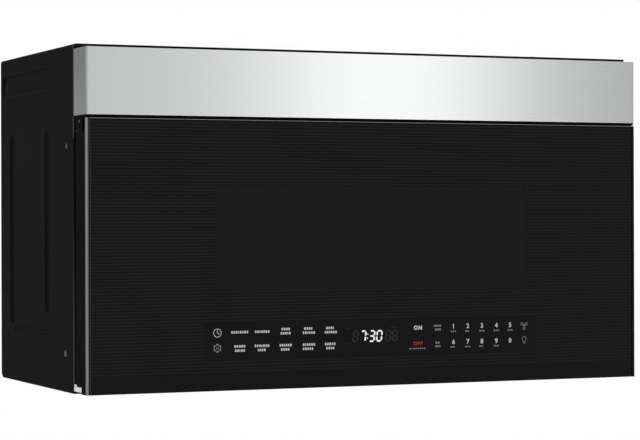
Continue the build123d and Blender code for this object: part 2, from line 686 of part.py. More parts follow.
board_y = front_plate_back + 6.0
with BuildPart() as noise_filter_board:
    block((262.0, 366.0), (board_y, board_y + 1.6), (285.0, 365.0))
    for post_x in (268.0, 360.0):
        for post_z in (291.0, 359.0):
            disc(facing(board_y), (post_x, post_z), 3.0, 6.0)
    disc(facing(board_y + 18), (290.0, 340.0), 14.0, 16.4)
    block((316.0, 340.0), (board_y + 1.6, board_y + 17), (328.0, 352.0))
    block((346.0, 360.0), (board_y + 1.6, board_y + 20), (300.0, 345.0))
    block((275.0, 335.0), (board_y + 1.6, board_y + 12), (292.0, 312.0))
finish(noise_filter_board, "noise_filter_board")

# ================================================================ component bay fan
with BuildPart() as cooling_fan_housing:
    block((cavity_right + cavity_sheet, case_inner - 3.2), (cooling_y, cooling_y + 1.5), (140.0, 300.0))
    with BuildSketch(facing(cooling_y)):
        with Locations((cooling_x, cooling_z)):
            Circle(52.0)
    extrude(amount=22.0)
    with BuildSketch(facing(cooling_y + 1.5)):
        with Locations((cooling_x, cooling_z)):
            Circle(50.5)
    extrude(amount=24.0, mode=Mode.SUBTRACT)
finish(cooling_fan_housing, "cooling_fan_housing")

fan_shaft = 3.0
blade_pitch = 35.0
with BuildPart() as cooling_fan_blade:
    disc(facing(cooling_y - 2), (cooling_x, cooling_z), 14.0, 16.0)
    disc(facing(cooling_y + 24), (cooling_x, cooling_z), fan_shaft, 30.0)
    for blade in range(7):
        blade_angle = 360 / 7 * blade
        arm = Vector(1, 0, 0).rotate(Axis.Y, blade_angle)
        hub = Vector(cooling_x, cooling_y - 10, cooling_z)
        chord = Vector(0, -1, 0).rotate(Axis((0, 0, 0), arm), blade_pitch)
        blade_plane = Plane(origin=hub + arm * 12, x_dir=chord, z_dir=arm)
        with BuildSketch(blade_plane):
            Rectangle(14.0, 1.6)
        with BuildSketch(blade_plane.offset(34.0)):
            Rectangle(20.0, 1.4)
        loft()
finish(cooling_fan_blade, "cooling_fan_blade")

with BuildPart() as cooling_fan_motor:
    motor_front, motor_back = cooling_y + 7.0, cooling_y + 32.0
    block((cooling_x - 30, cooling_x + 30), (motor_front, motor_back), (cooling_z - 22, cooling_z + 22))
    block((cooling_x - 16, cooling_x + 16), (motor_front, motor_back), (cooling_z - 34, cooling_z - 22))
    for leg_x in (cooling_x - 59, cooling_x + 55):
        block((leg_x, leg_x + 4), (cooling_y + 1.5, motor_back - 6), (cooling_z - 6, cooling_z + 6))
    block((cooling_x - 59, cooling_x + 59), (motor_back - 8, motor_back - 6), (cooling_z - 6, cooling_z + 6))
    disc(facing(motor_back), (cooling_x, cooling_z), fan_shaft + running_clearance, 30.0, mode=Mode.SUBTRACT)
finish(cooling_fan_motor, "cooling_fan_motor")

# ================================================================ convection
convection_wall = cavity_left - cavity_sheet
convection_back = convection_wall - convection_depth
heater_ring = 60.0
heater_tube = 3.2
gap_angle = 10.0
terminal_y = convection_y + heater_ring * cos(radians(gap_angle))
terminal_rise = heater_ring * sin(radians(gap_angle))
terminal_places = [(terminal_y, convection_z - terminal_rise), (terminal_y, convection_z + terminal_rise)]
with BuildPart() as convection_housing:
    pan_y = (convection_y - 92, convection_y + 92)
    pan_z = (convection_z - 66, convection_z + 66)
    block((convection_back, convection_wall), pan_y, pan_z)
    inner_y = (pan_y[0] + sheet, pan_y[1] - sheet)
    inner_pan_z = (pan_z[0] + sheet, pan_z[1] - sheet)
    block((convection_back + sheet, convection_wall), inner_y, inner_pan_z, mode=Mode.SUBTRACT)
    disc(side(convection_back), (convection_y, convection_z), 6.0, sheet, mode=Mode.SUBTRACT)
    for terminal_place in terminal_places:
        disc(side(convection_back), terminal_place, heater_tube + 0.4, sheet, mode=Mode.SUBTRACT)
finish(convection_housing, "convection_housing")

heater_x = convection_wall - 14.0
with BuildPart() as convection_heater:
    heater_plane = Plane(origin=(heater_x, convection_y, convection_z), x_dir=(0, 1, 0), z_dir=(1, 0, 0))
    with BuildLine(heater_plane) as heater_path:
        CenterArc((0, 0), heater_ring, gap_angle, 360 - 2 * gap_angle)
    arc_start = heater_path.line @ 0
    with BuildSketch(Plane(origin=arc_start, z_dir=heater_path.line % 0)):
        Circle(heater_tube)
    sweep(path=heater_path.line)
    for terminal_place in terminal_places:
        disc(side(heater_x + 2), terminal_place, heater_tube, convection_back - heater_x - 10)
finish(convection_heater, "convection_heater")

impeller_x = convection_back + 6.0
with BuildPart() as convection_fan:
    disc(side(impeller_x), (convection_y, convection_z), 50.0, 1.2)
    disc(side(impeller_x), (convection_y, convection_z), 8.0, 14.0)
    disc(side(impeller_x), (convection_y, convection_z), fan_shaft, -34.0)
    with BuildSketch(side(impeller_x)):
        with Locations((convection_y, convection_z)):
            with PolarLocations(33.0, 10):
                Rectangle(28.0, 1.2, rotation=25)
    extrude(amount=16.0)
finish(convection_fan, "convection_fan")

with BuildPart() as convection_motor:
    disc(side(convection_back - 34), (convection_y, convection_z), 28.0, 24.0)
    fillet(convection_motor.edges().filter_by(GeomType.CIRCLE), 3.0)
    for leg_y in (convection_y - 26, convection_y + 18):
        leg_z = (convection_z - 4, convection_z + 4)
        block((convection_back - 12, convection_back), (leg_y, leg_y + 8), leg_z)
    disc(side(convection_back - 10), (convection_y, convection_z), fan_shaft + running_clearance, -22.0,
         mode=Mode.SUBTRACT)
finish(convection_motor, "convection_motor")

# ================================================================ door interlock
bracket_back = -82.0
bracket_wall = 2.5
bracket_x = (302.0, 340.0)
bracket_z = (108.0, 268.0)
switch_front = hook_tip_y + 6.0
switch_back = switch_front + 16.0
with BuildPart() as interlock_bracket:
    block(bracket_x, (front_plate_back, bracket_back), bracket_z)
    hollow_x = (bracket_x[0] + bracket_wall, bracket_x[1] - bracket_wall)
    hollow_z = (bracket_z[0] + bracket_wall, bracket_z[1] - bracket_wall)
    block(hollow_x, (front_plate_back, bracket_back - bracket_wall), hollow_z, mode=Mode.SUBTRACT)
    for hook_z in hook_heights:
        # the shelf under a hook: its front edge is the catch, and it carries the switch
        shelf_x = (bracket_x[0] + 1, bracket_x[1] - 1)
        block(shelf_x, (front_plate_back, bracket_back - 1), (hook_z - 17, hook_z - 14))
finish(interlock_bracket, "interlock_bracket")

plunger_radius = 1.6
plunger_tip = hook_tip_y + roller_gap
with BuildPart() as interlock_switches:
    for hook_z, switch_xs in zip(hook_heights, ((latch_x, latch_x + 11.0), (latch_x,))):
        for switch_x in switch_xs:
            block((switch_x - 5, switch_x + 5), (switch_front, switch_back), (hook_z - 14, hook_z + 14))
            bore = plunger_radius + slide_clearance
            disc(facing(switch_front + 6.0), (switch_x, hook_z), bore, 6.0, mode=Mode.SUBTRACT)
finish(interlock_switches, "interlock_switches")

plunger_root = switch_front + 4.0
with BuildPart() as switch_plunger_lower:
    for switch_x in (latch_x, latch_x + 11.0):
        disc(facing(plunger_root), (switch_x, hook_heights[0]), plunger_radius, 8.0)
    yoke_z = (hook_heights[0] - 3, hook_heights[0] + 3)
    block((latch_x - 4, latch_x + 15), (plunger_tip, plunger_tip + 2.0), yoke_z)
finish(switch_plunger_lower, "switch_plunger_lower")

with BuildPart() as switch_plunger_upper:
    disc(facing(plunger_root), (latch_x, hook_heights[1]), plunger_radius, plunger_root - plunger_tip)
finish(switch_plunger_upper, "switch_plunger_upper")

# ================================================================ hinge brackets
leaf_left = -case_half
leaf_back = front_plate_back + bracket_flange


def hinge_leaf(leaf_low, leaf_high, leaf_front, corner):
    """The flat leaf under or over the door, its free corner rounded for the door's swing."""
    with BuildSketch(level(leaf_low)) as leaf:
        with Locations(((leaf_left + leaf_right) / 2, (leaf_front + leaf_back) / 2)):
            Rectangle(leaf_right - leaf_left, leaf_back - leaf_front)
        fillet(leaf.vertices().group_by(Axis.Y)[0].sort_by(Axis.X)[0], corner)
    extrude(leaf.sketch, amount=leaf_high - leaf_low)
    notch_y = (case_front - 0.4, leaf_back)
    block((leaf_left - 1, -plate_half), notch_y, (leaf_low, leaf_high), mode=Mode.SUBTRACT)


def flange_holes(screw_z):
    """The two screw holes in the flange of a hinge bracket."""
    with BuildSketch(facing(leaf_back)) as holes:
        with Locations(*[(column, screw_z) for column in screw_columns]):
            Circle(plate_screw_hole)
    extrude(holes.sketch, amount=bracket_flange, mode=Mode.SUBTRACT)


with BuildPart() as lower_hinge_bracket:
    hinge_leaf(lower_leaf_bottom, lower_leaf_top, pin_y - 14.0, 10.0)
    block((-plate_half + sheet + 0.1, leaf_right), (front_plate_back, leaf_back), (lower_leaf_bottom, 52.0))
    disc(level(lower_leaf_top), (pin_x, pin_y), 6.0, rear_bottom - lower_leaf_top - 0.3)
    disc(level(lower_leaf_top), (pin_x, pin_y), pin_radius, 16.0)
    flange_holes(lower_screw_z)
finish(lower_hinge_bracket, "lower_hinge_bracket")

with BuildPart() as upper_hinge_bracket:
    hinge_leaf(upper_leaf_bottom, upper_leaf_top, pin_y - 24.0, 10.0)
    block((-plate_half + sheet + 0.1, leaf_right), (front_plate_back, leaf_back), (upper_leaf_bottom, 358.0))
    disc(level(upper_leaf_bottom), (pin_x, pin_y), pin_radius, -13.0)
    flange_holes(upper_screw_z)
finish(upper_hinge_bracket, "upper_hinge_bracket")

with BuildPart() as hinge_screws:
    for screw_place in hinge_screw_places:
        disc(facing(leaf_back + 2.4), screw_place, 4.2, 2.4)
        disc(facing(leaf_back), screw_place, shank_radius, bracket_flange + sheet)
finish(hinge_screws, "hinge_screws")

# ================================================================ door
glass_half = half - trim_width - 0.2
with BuildPart() as door_glass:
    block((-glass_half, glass_half), (front, at_front(glass_thickness)), (door_bottom, door_top))
    chamfer(door_glass.edges().group_by(Axis.Y)[0], 0.5)
finish(door_glass, "door_glass")

for trim_name, trim_sign in (("left_door_trim", -1), ("right_door_trim", 1)):
    with BuildPart() as door_trim:
        with BuildSketch(level(door_bottom)):
            with BuildLine():
                Polyline((trim_sign * half, at_front(glass_thickness)), (trim_sign * half, at_front(1.0)),
                         (trim_sign * (half - 0.8), front), (trim_sign * (half - 3.0), front),
                         (trim_sign * (half - trim_width), at_front(2.0)),
                         (trim_sign * (half - trim_width), at_front(glass_thickness)),
                         (trim_sign * half, at_front(glass_thickness)))
            make_face()
        extrude(amount=door_top - door_bottom)
    finish(door_trim, trim_name)

pocket_left, pocket_right = -352.0, door_half - 3.0
pocket_low, pocket_high = 15.0, 314.0
grip_left, grip_right = 240.0, 340.0
grip_top = 27.0
grip_floor = 30.0
pocket_back = door_depth - 3.0
liner_x = (-342.0, 282.0)
liner_z = (32.5, 309.5)
with BuildPart() as door_frame:
    with BuildSketch(side(-door_half)):
        with BuildLine():
            Polyline((at_front(glass_thickness), door_bottom), (at_front(lip_depth), door_bottom),
                     (at_front(lip_depth), rear_bottom), (at_front(door_depth), rear_bottom),
                     (at_front(door_depth), rear_top), (at_front(skin_back), rear_top),
                     (at_front(skin_back), door_top), (at_front(glass_thickness), door_top),
                     (at_front(glass_thickness), door_bottom))
        make_face()
    extrude(amount=2 * door_half)
    hinge_corner = door_frame.edges().filter_by(Axis.Z).group_by(Axis.Y)[-1].sort_by(Axis.X)
    fillet(hinge_corner[0], 11.0)
    latch_corner = door_frame.edges().filter_by(Axis.Z).group_by(Axis.Y)[-1].sort_by(Axis.X)
    fillet(latch_corner[-1], 3.0)
    # hollow behind the front skin, stepped up over the finger grip
    pocket_y = (at_front(skin_back), at_front(pocket_back))
    block((pocket_left, grip_left - 12), pocket_y, (pocket_low, pocket_high), mode=Mode.SUBTRACT)
    block((grip_left - 13, pocket_right), pocket_y, (grip_floor, pocket_high), mode=Mode.SUBTRACT)
    block((-door_half + 3, pocket_left - 4), (pocket_y[0], pin_y + 4), (45.0, 285.0), mode=Mode.SUBTRACT)
    # window and control openings of the front skin, liner opening of the rear skin
    skin_y = (at_front(glass_thickness), at_front(skin_back))
    block((-window_half, window_half), skin_y, (window_low, window_high), mode=Mode.SUBTRACT)
    block((-controls_half, controls_half), skin_y, (controls_low, controls_high), mode=Mode.SUBTRACT)
    rear_skin_y = (at_front(pocket_back), at_front(door_depth))
    block(liner_x, rear_skin_y, liner_z, mode=Mode.SUBTRACT)
    for hook_z in hook_heights:
        block((latch_x - 5.5, latch_x + 5.5), rear_skin_y, (hook_z - 11, hook_z + 11), mode=Mode.SUBTRACT)
    # finger grip under the right half of the door
    grip_y = (at_front(lip_depth), at_front(pocket_back))
    block((grip_left, grip_right), grip_y, (rear_bottom, grip_top), mode=Mode.SUBTRACT)
    # latch guides and the shelf of the latch spring
    guide_y = (at_front(lip_depth + 4), at_front(pocket_back))
    for guide_z in (165.0, 208.0):
        for guide_sign in (-1, 1):
            near = latch_x + guide_sign * (latch_thickness / 2 + 0.4)
            far = near + guide_sign * 7.0
            block(sorted((near, far)), guide_y, (guide_z - 5, guide_z + 5))
    block((latch_x - 8, latch_x + 8), guide_y, (98.0, 102.0))
    # hinge pin holes
    pin_bore = pin_radius + running_clearance
    disc(level(rear_bottom), (pin_x, pin_y), pin_bore, 14.5, mode=Mode.SUBTRACT)
    disc(level(rear_top), (pin_x, pin_y), pin_bore, -14.0, mode=Mode.SUBTRACT)
finish(door_frame, "door_frame")

# Steel inner panel: a flat sheet across the door, with a rim that forms the choke channel
panel_front = 30.0
pane_front, pane_back = 43.0, 46.0
panel_y = (at_front(panel_front), at_front(panel_front + sheet))
with BuildPart() as door_panel:
    block((pocket_left, 298.0), panel_y, (pocket_low, pocket_high))
    block((grip_left - 16, 299.0), panel_y, (pocket_low, grip_floor + 2), mode=Mode.SUBTRACT)
    rim_y = (panel_y[1], at_front(pane_back))
    block((liner_x[0] + 2, liner_x[1] - 2), rim_y, (liner_z[0] + 2, liner_z[1] - 2))
    block((liner_x[0] + 3, liner_x[1] - 3), rim_y, (liner_z[0] + 3, liner_z[1] - 3), mode=Mode.SUBTRACT)
    inner_rim_y = (panel_y[1], at_front(pane_front))
    for margin, rim_mode in ((8.0, Mode.ADD), (7.0, Mode.SUBTRACT)):
        rim_x = (-window_half - margin, window_half + margin)
        block(rim_x, inner_rim_y, (window_low - margin, window_high + margin), mode=rim_mode)
    block((-window_half, window_half), panel_y, (window_low, window_high), mode=Mode.SUBTRACT)
finish(door_panel, "door_panel")

with BuildPart() as window_screen:
    screen_y = (at_front(panel_front - 0.8), at_front(panel_front))
    block((-window_half - 6, window_half + 6), screen_y, (window_low - 6, window_high + 6))
    with BuildSketch(facing(screen_y[1])):
        with Locations((0, (window_low + window_high) / 2)):
            with GridLocations(15.0, 15.0, 28, 9):
                Circle(5.5)
    extrude(amount=0.8, mode=Mode.SUBTRACT)
finish(window_screen, "window_screen")

pane_y = (at_front(pane_front), at_front(pane_back))
with BuildPart() as inner_window_glass:
    block((-window_half - 14, window_half + 14), pane_y, (window_low - 12, window_high + 10))
finish(inner_window_glass, "inner_window_glass")

with BuildPart() as choke_cover:
    cover_y = (at_front(pane_back), at_front(door_depth - 0.4))
    block((liner_x[0] + 0.5, liner_x[1] - 0.5), cover_y, (liner_z[0] + 0.5, liner_z[1] - 0.5))
    chamfer(choke_cover.edges().group_by(Axis.Y)[-1], 1.5)
    cover_window_x = (-window_half - 11, window_half + 11)
    block(cover_window_x, cover_y, (window_low - 9, window_high + 7), mode=Mode.SUBTRACT)
finish(choke_cover, "choke_cover")

# Control electronics behind the lower part of the glass
board_front = 10.0
with BuildPart() as control_board:
    block((-228.0, 226.0), (at_front(board_front), at_front(board_front + 1.6)), (22.0, 98.0))
    for post_x in (-220.0, 218.0):
        for post_z in (27.0, 94.0):
            disc(facing(at_front(board_front)), (post_x, post_z), 3.0, board_front - skin_back)
    for relay in range(6):
        relay_x = -200.0 + 34.0 * relay
        block((relay_x, relay_x + 20), (at_front(board_front + 1.6), at_front(24.0)), (50.0, 66.0))
    block((60.0, 110.0), (at_front(board_front + 1.6), at_front(27.0)), (40.0, 80.0))
    block((140.0, 200.0), (at_front(board_front + 1.6), at_front(19.0)), (55.0, 63.0))
finish(control_board, "control_board")

with BuildPart() as display_module:
    block((-44.0, 38.0), (at_front(glass_thickness + 0.3), at_front(board_front)), (50.0, 80.0))
    block((-41.0, 35.0), (at_front(glass_thickness + 0.3), at_front(glass_thickness + 0.9)), (53.0, 77.0),
          mode=Mode.SUBTRACT)
finish(display_module, "display_module")

# Latch: one flat bar with two hooks that reach through the front plate, and its spring
bar_y = (at_front(26.0), at_front(38.0))
latch_x_limits = (latch_x - latch_thickness / 2, latch_x + latch_thickness / 2)
latch_low = hook_heights[0] - 14.0
with BuildPart() as door_latch:
    block(latch_x_limits, bar_y, (latch_low, hook_heights[1] + 20.0))
    for hook_z in hook_heights:
        block(latch_x_limits, (bar_y[1], hook_tip_y), (hook_z - hook_height / 2, hook_z + hook_height / 2))
        with BuildSketch(side(latch_x_limits[0])):
            with BuildLine():
                Polyline((hook_tip_y - 8, hook_z), (hook_tip_y - 8, hook_z - hook_height),
                         (hook_tip_y - 6, hook_z - hook_height), (hook_tip_y, hook_z - 2),
                         (hook_tip_y, hook_z), (hook_tip_y - 8, hook_z))
            make_face()
        extrude(amount=latch_thickness)
finish(door_latch, "door_latch")

with BuildPart() as latch_spring:
    disc(level(102.0), (latch_x, (bar_y[0] + bar_y[1]) / 2), 3.5, latch_low - 102.0)
    disc(level(102.0), (latch_x, (bar_y[0] + bar_y[1]) / 2), 2.5, latch_low - 102.0, mode=Mode.SUBTRACT)
finish(latch_spring, "latch_spring")
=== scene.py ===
"""Looks of the over-the-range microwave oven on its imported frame. X right, -Y front, Z up."""
import json
from math import cos, pi, radians, sin

import bmesh
import bpy
from mathutils import Matrix, Vector


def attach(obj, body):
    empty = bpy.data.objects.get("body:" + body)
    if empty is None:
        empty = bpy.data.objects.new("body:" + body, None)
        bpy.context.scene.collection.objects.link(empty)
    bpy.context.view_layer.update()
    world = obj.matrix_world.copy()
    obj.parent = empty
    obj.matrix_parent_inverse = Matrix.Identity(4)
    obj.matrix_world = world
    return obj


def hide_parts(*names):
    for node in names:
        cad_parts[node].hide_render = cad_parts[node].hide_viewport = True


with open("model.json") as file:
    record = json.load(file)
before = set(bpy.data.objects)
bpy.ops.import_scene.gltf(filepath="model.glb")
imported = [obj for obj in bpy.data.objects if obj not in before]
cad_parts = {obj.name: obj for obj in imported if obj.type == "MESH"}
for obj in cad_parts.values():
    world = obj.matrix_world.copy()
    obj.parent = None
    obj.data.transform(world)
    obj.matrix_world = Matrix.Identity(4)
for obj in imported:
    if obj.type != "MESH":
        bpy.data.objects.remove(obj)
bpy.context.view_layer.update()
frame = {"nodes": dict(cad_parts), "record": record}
scene = bpy.context.scene

MM = 0.001

# ---------------------------------------------------------------- sizes, in millimetres
glass_face = -190.3
rib_face = -190.5
glass_back = -186.5
glass_limits = (-374.6, 374.6, 1.5, 333.8)
glass_chamfer = 0.5
window_left, window_right = -214.5, 214.5
window_limits = (window_left, window_right, 124.0, 253.0)
window_radius = 5.0
controls_left, controls_right = -229.0, 230.0
rib_pitch = 3.9
rib_width = 1.95
rib_first = 24.0
rib_left, rib_right = -373.7, 373.9
upper_row, lower_row = 73.0, 53.0


# ---------------------------------------------------------------- finishes
def ink(red, green, blue):
    """The linear colour of a shade given in 8-bit steps."""
    def linear(value):
        share = value / 255
        return share / 12.92 if share <= 0.04045 else ((share + 0.055) / 1.055) ** 2.4
    return (linear(red), linear(green), linear(blue), 1.0)


def stepper(tree):
    """Gives a helper that adds a node to a tree. Lower-case names are the node's settings, others its inputs."""
    def step(kind, operation=None, **values):
        node = tree.nodes.new(kind)
        if operation:
            node.operation = operation
        for place, value in values.items():
            if place[0].islower():
                setattr(node, place, value)
                continue
            name = place.replace("_", " ").strip()
            socket = node.inputs[int(name) if name.isdigit() else name]
            if isinstance(value, bpy.types.NodeSocket):
                tree.links.new(value, socket)
            else:
                socket.default_value = value
        return node
    return step


class Finish:
    """A surface whose colour, sheen and relief follow the piece's own coordinates."""

    def __init__(self, name, colour, roughness, metallic=0.0, gloss=0.5):
        self.name = name
        self.material = bpy.data.materials.new(name)
        self.material.use_nodes = True
        self.tree = self.material.node_tree
        self.step = stepper(self.tree)
        self.shader = self.tree.nodes["Principled BSDF"]
        self.place = self.step("ShaderNodeTexCoord").outputs["Object"]
        self.colour = ink(*colour)
        self.hold("Base Color", self.colour)
        self.hold("Roughness", roughness)
        self.hold("Metallic", metallic)
        self.hold("Specular IOR Level", gloss)

    def hold(self, socket, value):
        """Sets one even value on the shader itself."""
        self.shader.inputs[socket].default_value = value

    def follow(self, socket, pattern):
        """Lets an input of the shader follow a pattern."""
        self.tree.links.new(pattern, self.shader.inputs[socket])
        return self

    def stretched(self, per_metre):
        """The piece's coordinates with a number of features per metre along each axis."""
        return self.step("ShaderNodeMapping", Scale=per_metre, Vector=self.place).outputs["Vector"]

    def clouds(self, per_metre, detail=3.0):
        """Soft noise with so many features per metre, even or stretched along the axes."""
        if not isinstance(per_metre, tuple):
            per_metre = (per_metre,) * 3
        noise = self.step("ShaderNodeTexNoise", Scale=1.0, Detail=detail, Vector=self.stretched(per_metre))
        return self.ramp(noise.outputs["Fac"], 0.3, 0.7)

    def cells(self, per_metre, output="Distance"):
        """Grains or crystal cells: their distance field, or a random shade for each."""
        voronoi = self.step("ShaderNodeTexVoronoi", Scale=1.0, Vector=self.stretched((per_metre,) * 3))
        if output == "Distance":
            return voronoi.outputs["Distance"]
        return self.step("ShaderNodeSeparateColor", _0=voronoi.outputs["Color"]).outputs[0]

    def lines(self, per_metre, axis):
        """Even parallel lines across an axis."""
        return self.step("ShaderNodeTexWave", bands_direction=axis, Scale=per_metre / pi,
                         Vector=self.place).outputs["Fac"]

    def axis_share(self, axis, low, high, mirrored=False):
        """0 to 1 between two places along an axis, in millimetres, the same on both sides if mirrored."""
        along = self.step("ShaderNodeSeparateXYZ", _0=self.place).outputs[axis]
        if mirrored:
            along = self.step("ShaderNodeMath", "ABSOLUTE", _0=along).outputs[0]
        return self.ramp(along, low * MM, high * MM)

    def ramp(self, value, from_low, from_high, to_low=0.0, to_high=1.0):
        """Maps one range to another and stops at its ends."""
        return self.step("ShaderNodeMapRange", Value=value, From_Min=from_low, From_Max=from_high,
                         To_Min=to_low, To_Max=to_high).outputs["Result"]

    def both(self, first, second):
        """The product of two patterns."""
        return self.step("ShaderNodeMath", "MULTIPLY", _0=first, _1=second).outputs[0]

    def tint(self, pattern, colour, amount=1.0):
        """Blends the colour so far towards another by a pattern."""
        mix = self.step("ShaderNodeMix", data_type="RGBA", _0=self.ramp(pattern, 0.0, 1.0, 0.0, amount),
                        _6=self.colour, _7=ink(*colour))
        self.colour = mix.outputs[2]
        return self.follow("Base Color", self.colour)

    def sheen(self, pattern, low, high):
        """Lets the roughness follow a pattern."""
        return self.follow("Roughness", self.ramp(pattern, 0.0, 1.0, low, high))

    def relief(self, pattern, depth):
        """Raises the surface by a pattern, up to a depth in millimetres."""
        bump = self.step("ShaderNodeBump", Distance=depth * MM, Height=pattern)
        return self.follow("Normal", bump.outputs["Normal"])


def painted(name, colour, other, roughness, gloss):
    """Powder-coated sheet: fine orange peel and a faint drift of shade."""
    finish = Finish(name, colour, roughness, gloss=gloss)
    finish.tint(finish.clouds(9), other, 0.6)
    finish.sheen(finish.clouds(35), roughness - 0.05, roughness + 0.05)
    return finish.relief(finish.clouds(900, 1.0), 0.02)


def case_paint():
    """Coated wrap of the casing, paler underneath. Painted shade darkens the groove floors, painted highlights
    lighten the sunk face low down and along the upper groove's lip, and the light line along the front edge near both
    ends is partly bare cut edge and partly painted highlight.
    """
    finish = painted("case_paint", (31, 31, 32), (36, 36, 37), 0.55, 0.0014)
    underside = finish.axis_share("Z", 1.6, 1.2)
    finish.tint(underside, (44, 44, 46), 0.8)
    sunk = finish.axis_share("X", 378.8, 378.2, True)
    groove_floor_shade = finish.axis_share("X", 377.9, 377.3, True)
    below_bend, groove_foot = finish.axis_share("Z", 340.0, 335.0), finish.axis_share("Z", 73.0, 71.0)
    # Painted shade on the groove floors below the bend
    finish.tint(finish.both(groove_floor_shade, below_bend), (25, 25, 26))
    # Painted highlight: the sunk face is lighter below the groove foot
    finish.tint(finish.both(sunk, groove_foot), (38, 38, 39))
    upper_lip_highlight = finish.both(finish.axis_share("Z", 373.8, 374.6), finish.axis_share("Z", 377.4, 376.4))
    # Painted highlight along the upper groove's lower lip
    finish.tint(finish.both(sunk, upper_lip_highlight), (46, 46, 47))
    edge = finish.both(finish.axis_share("Y", -137.0, -137.5), finish.axis_share("X", 378.4, 378.8, True))
    upper = finish.axis_share("Z", 310.0, 314.0)
    lower = finish.both(finish.axis_share("Z", 210.0, 90.0), finish.axis_share("Z", 12.0, 14.0))
    # Light line along the side's front edge near both ends: partly bare cut edge, partly painted highlight
    finish.tint(finish.both(edge, upper), (112, 114, 115))
    finish.tint(finish.both(edge, lower), (104, 106, 107))
    return finish


def moulded(name, colour, other, roughness, gloss=0.4):
    """Injection-moulded plastic with a fine spark-eroded grain."""
    finish = Finish(name, colour, roughness, gloss=gloss)
    finish.tint(finish.clouds(25), other, 0.5)
    finish.sheen(finish.clouds(60), roughness - 0.06, roughness + 0.06)
    return finish.relief(finish.clouds(1600, 2.0), 0.03)


def bare_metal(name, colour, other, roughness, streaks=(40, 40, 40), relief=0.01):
    """Rolled or drawn metal: streaks of shade and sheen along one way."""
    finish = Finish(name, colour, roughness, metallic=1.0)
    pattern = finish.clouds(streaks, 4.0)
    finish.tint(pattern, other, 0.7)
    finish.sheen(finish.clouds(30), roughness - 0.06, roughness + 0.08)
    return finish.relief(pattern, relief)


def clear(name, colour, roughness, transmission, ior=1.5, gloss=0.5):
    """Glass or clear plastic with a faint unevenness of its sheen."""
    finish = Finish(name, colour, roughness, gloss=gloss)
    finish.hold("Transmission Weight", transmission)
    finish.hold("IOR", ior)
    finish.sheen(finish.clouds(14), roughness, roughness + 0.03)
    return finish


def galvanised():
    """Hot-dip zinc with its crystal spangle."""
    finish = Finish("galvanised_steel", (158, 161, 164), 0.42, metallic=1.0)
    spangle = finish.cells(210, "Color")
    finish.tint(spangle, (182, 185, 187), 0.55)
    finish.tint(finish.clouds(7), (146, 149, 151), 0.45)
    finish.sheen(spangle, 0.38, 0.5)
    return finish.relief(finish.clouds(400, 2.0), 0.01)


def filter_metal():
    """Aluminium of the grease filters, with painted shade darkening the layers further in."""
    finish = bare_metal("filter_aluminium", (180, 182, 185), (204, 206, 208), 0.4, (300, 300, 300))
    # Painted shade on the deeper mesh layers
    shaded_layers = finish.axis_share("Z", 2.8, 3.4)
    return finish.tint(shaded_layers, (70, 71, 73), 0.85)


def brushed_band():
    """Stainless steel brushed from side to side, with painted shade on the returns at its ends, less of it low down,
    and a painted dark, non-metal line along their rear edge.
    """
    finish = Finish("stainless_band", (158, 159, 159), 0.26, metallic=1.0, gloss=0.01)
    brushing = finish.clouds((10, 3200, 3200), 3.0)
    finish.tint(brushing, (163, 164, 164), 0.2)
    finish.tint(finish.clouds((5, 300, 300), 2.0), (155, 156, 156), 0.1)
    ends = finish.both(finish.axis_share("X", 378.6, 379.3, True), finish.axis_share("Y", -189.6, -188.0))
    lower_part = finish.axis_share("Z", 400.0, 340.0)
    # Painted shade on the returns at both ends, lighter low down
    finish.tint(ends, (62, 63, 64))
    finish.tint(finish.both(ends, lower_part), (92, 93, 94))
    # Painted shade: a dark, non-metal line along the returns' rear edge
    rear_edge_shade = finish.both(ends, finish.axis_share("Y", -142.8, -141.6))
    finish.tint(rear_edge_shade, (24, 24, 25))
    finish.follow("Metallic", finish.ramp(rear_edge_shade, 0.0, 1.0, 1.0, 0.0))
    finish.sheen(brushing, 0.262, 0.275)
    return finish.relief(brushing, 0.0004)


def anodised_trim():
    """Anodised strip of the door's sides, with painted shade on its bevel and outer edge; the handle side is black.
    """
    finish = Finish("trim_metal", (132, 133, 135), 0.34, metallic=1.0)
    finish.tint(finish.clouds((2600, 2600, 14), 4.0), (144, 145, 146), 0.6)
    bevel_shade = finish.axis_share("X", 378.8, 375.6, mirrored=True)
    edge_shade = finish.axis_share("X", 379.3, 379.45, mirrored=True)
    handle_side = finish.axis_share("X", 370.0, 372.0)
    # Painted shade on the bevel and the outer edge, then the black handle side
    finish.tint(bevel_shade, (50, 51, 52)).tint(edge_shade, (60, 61, 62)).tint(handle_side, (26, 26, 27))
    finish.sheen(finish.clouds((900, 900, 20)), 0.3, 0.42)
    return finish


def enamel():
    """Grey enamel with fine speckles, duller low down where it is wiped, and painted black shade at the front plate's
    sides.
    """
    finish = Finish("cavity_enamel", (126, 128, 130), 0.32, gloss=0.5)
    speckles = finish.ramp(finish.cells(900), 0.1, 0.32, 1.0, 0.0)
    finish.tint(speckles, (88, 90, 93), 0.55)
    finish.tint(finish.clouds(7), (138, 139, 140), 0.5)
    # Painted shade: black on the front plate's sides behind the door's edges
    plate_side_shade = finish.both(finish.axis_share("X", 362.0, 364.0, True), finish.axis_share("Y", -134.0, -136.0))
    finish.tint(plate_side_shade, (20, 20, 21))
    wiped = finish.axis_share("Z", 90.0, 62.0)
    finish.sheen(wiped, 0.3, 0.42)
    return finish.relief(finish.clouds(240, 2.0), 0.04)


def charcoal_granules():
    """Pressed carbon granules."""
    finish = Finish("charcoal", (22, 22, 23), 0.9, gloss=0.15)
    grains = finish.cells(520)
    finish.tint(grains, (52, 52, 54), 0.7)
    return finish.relief(grains, 0.9)


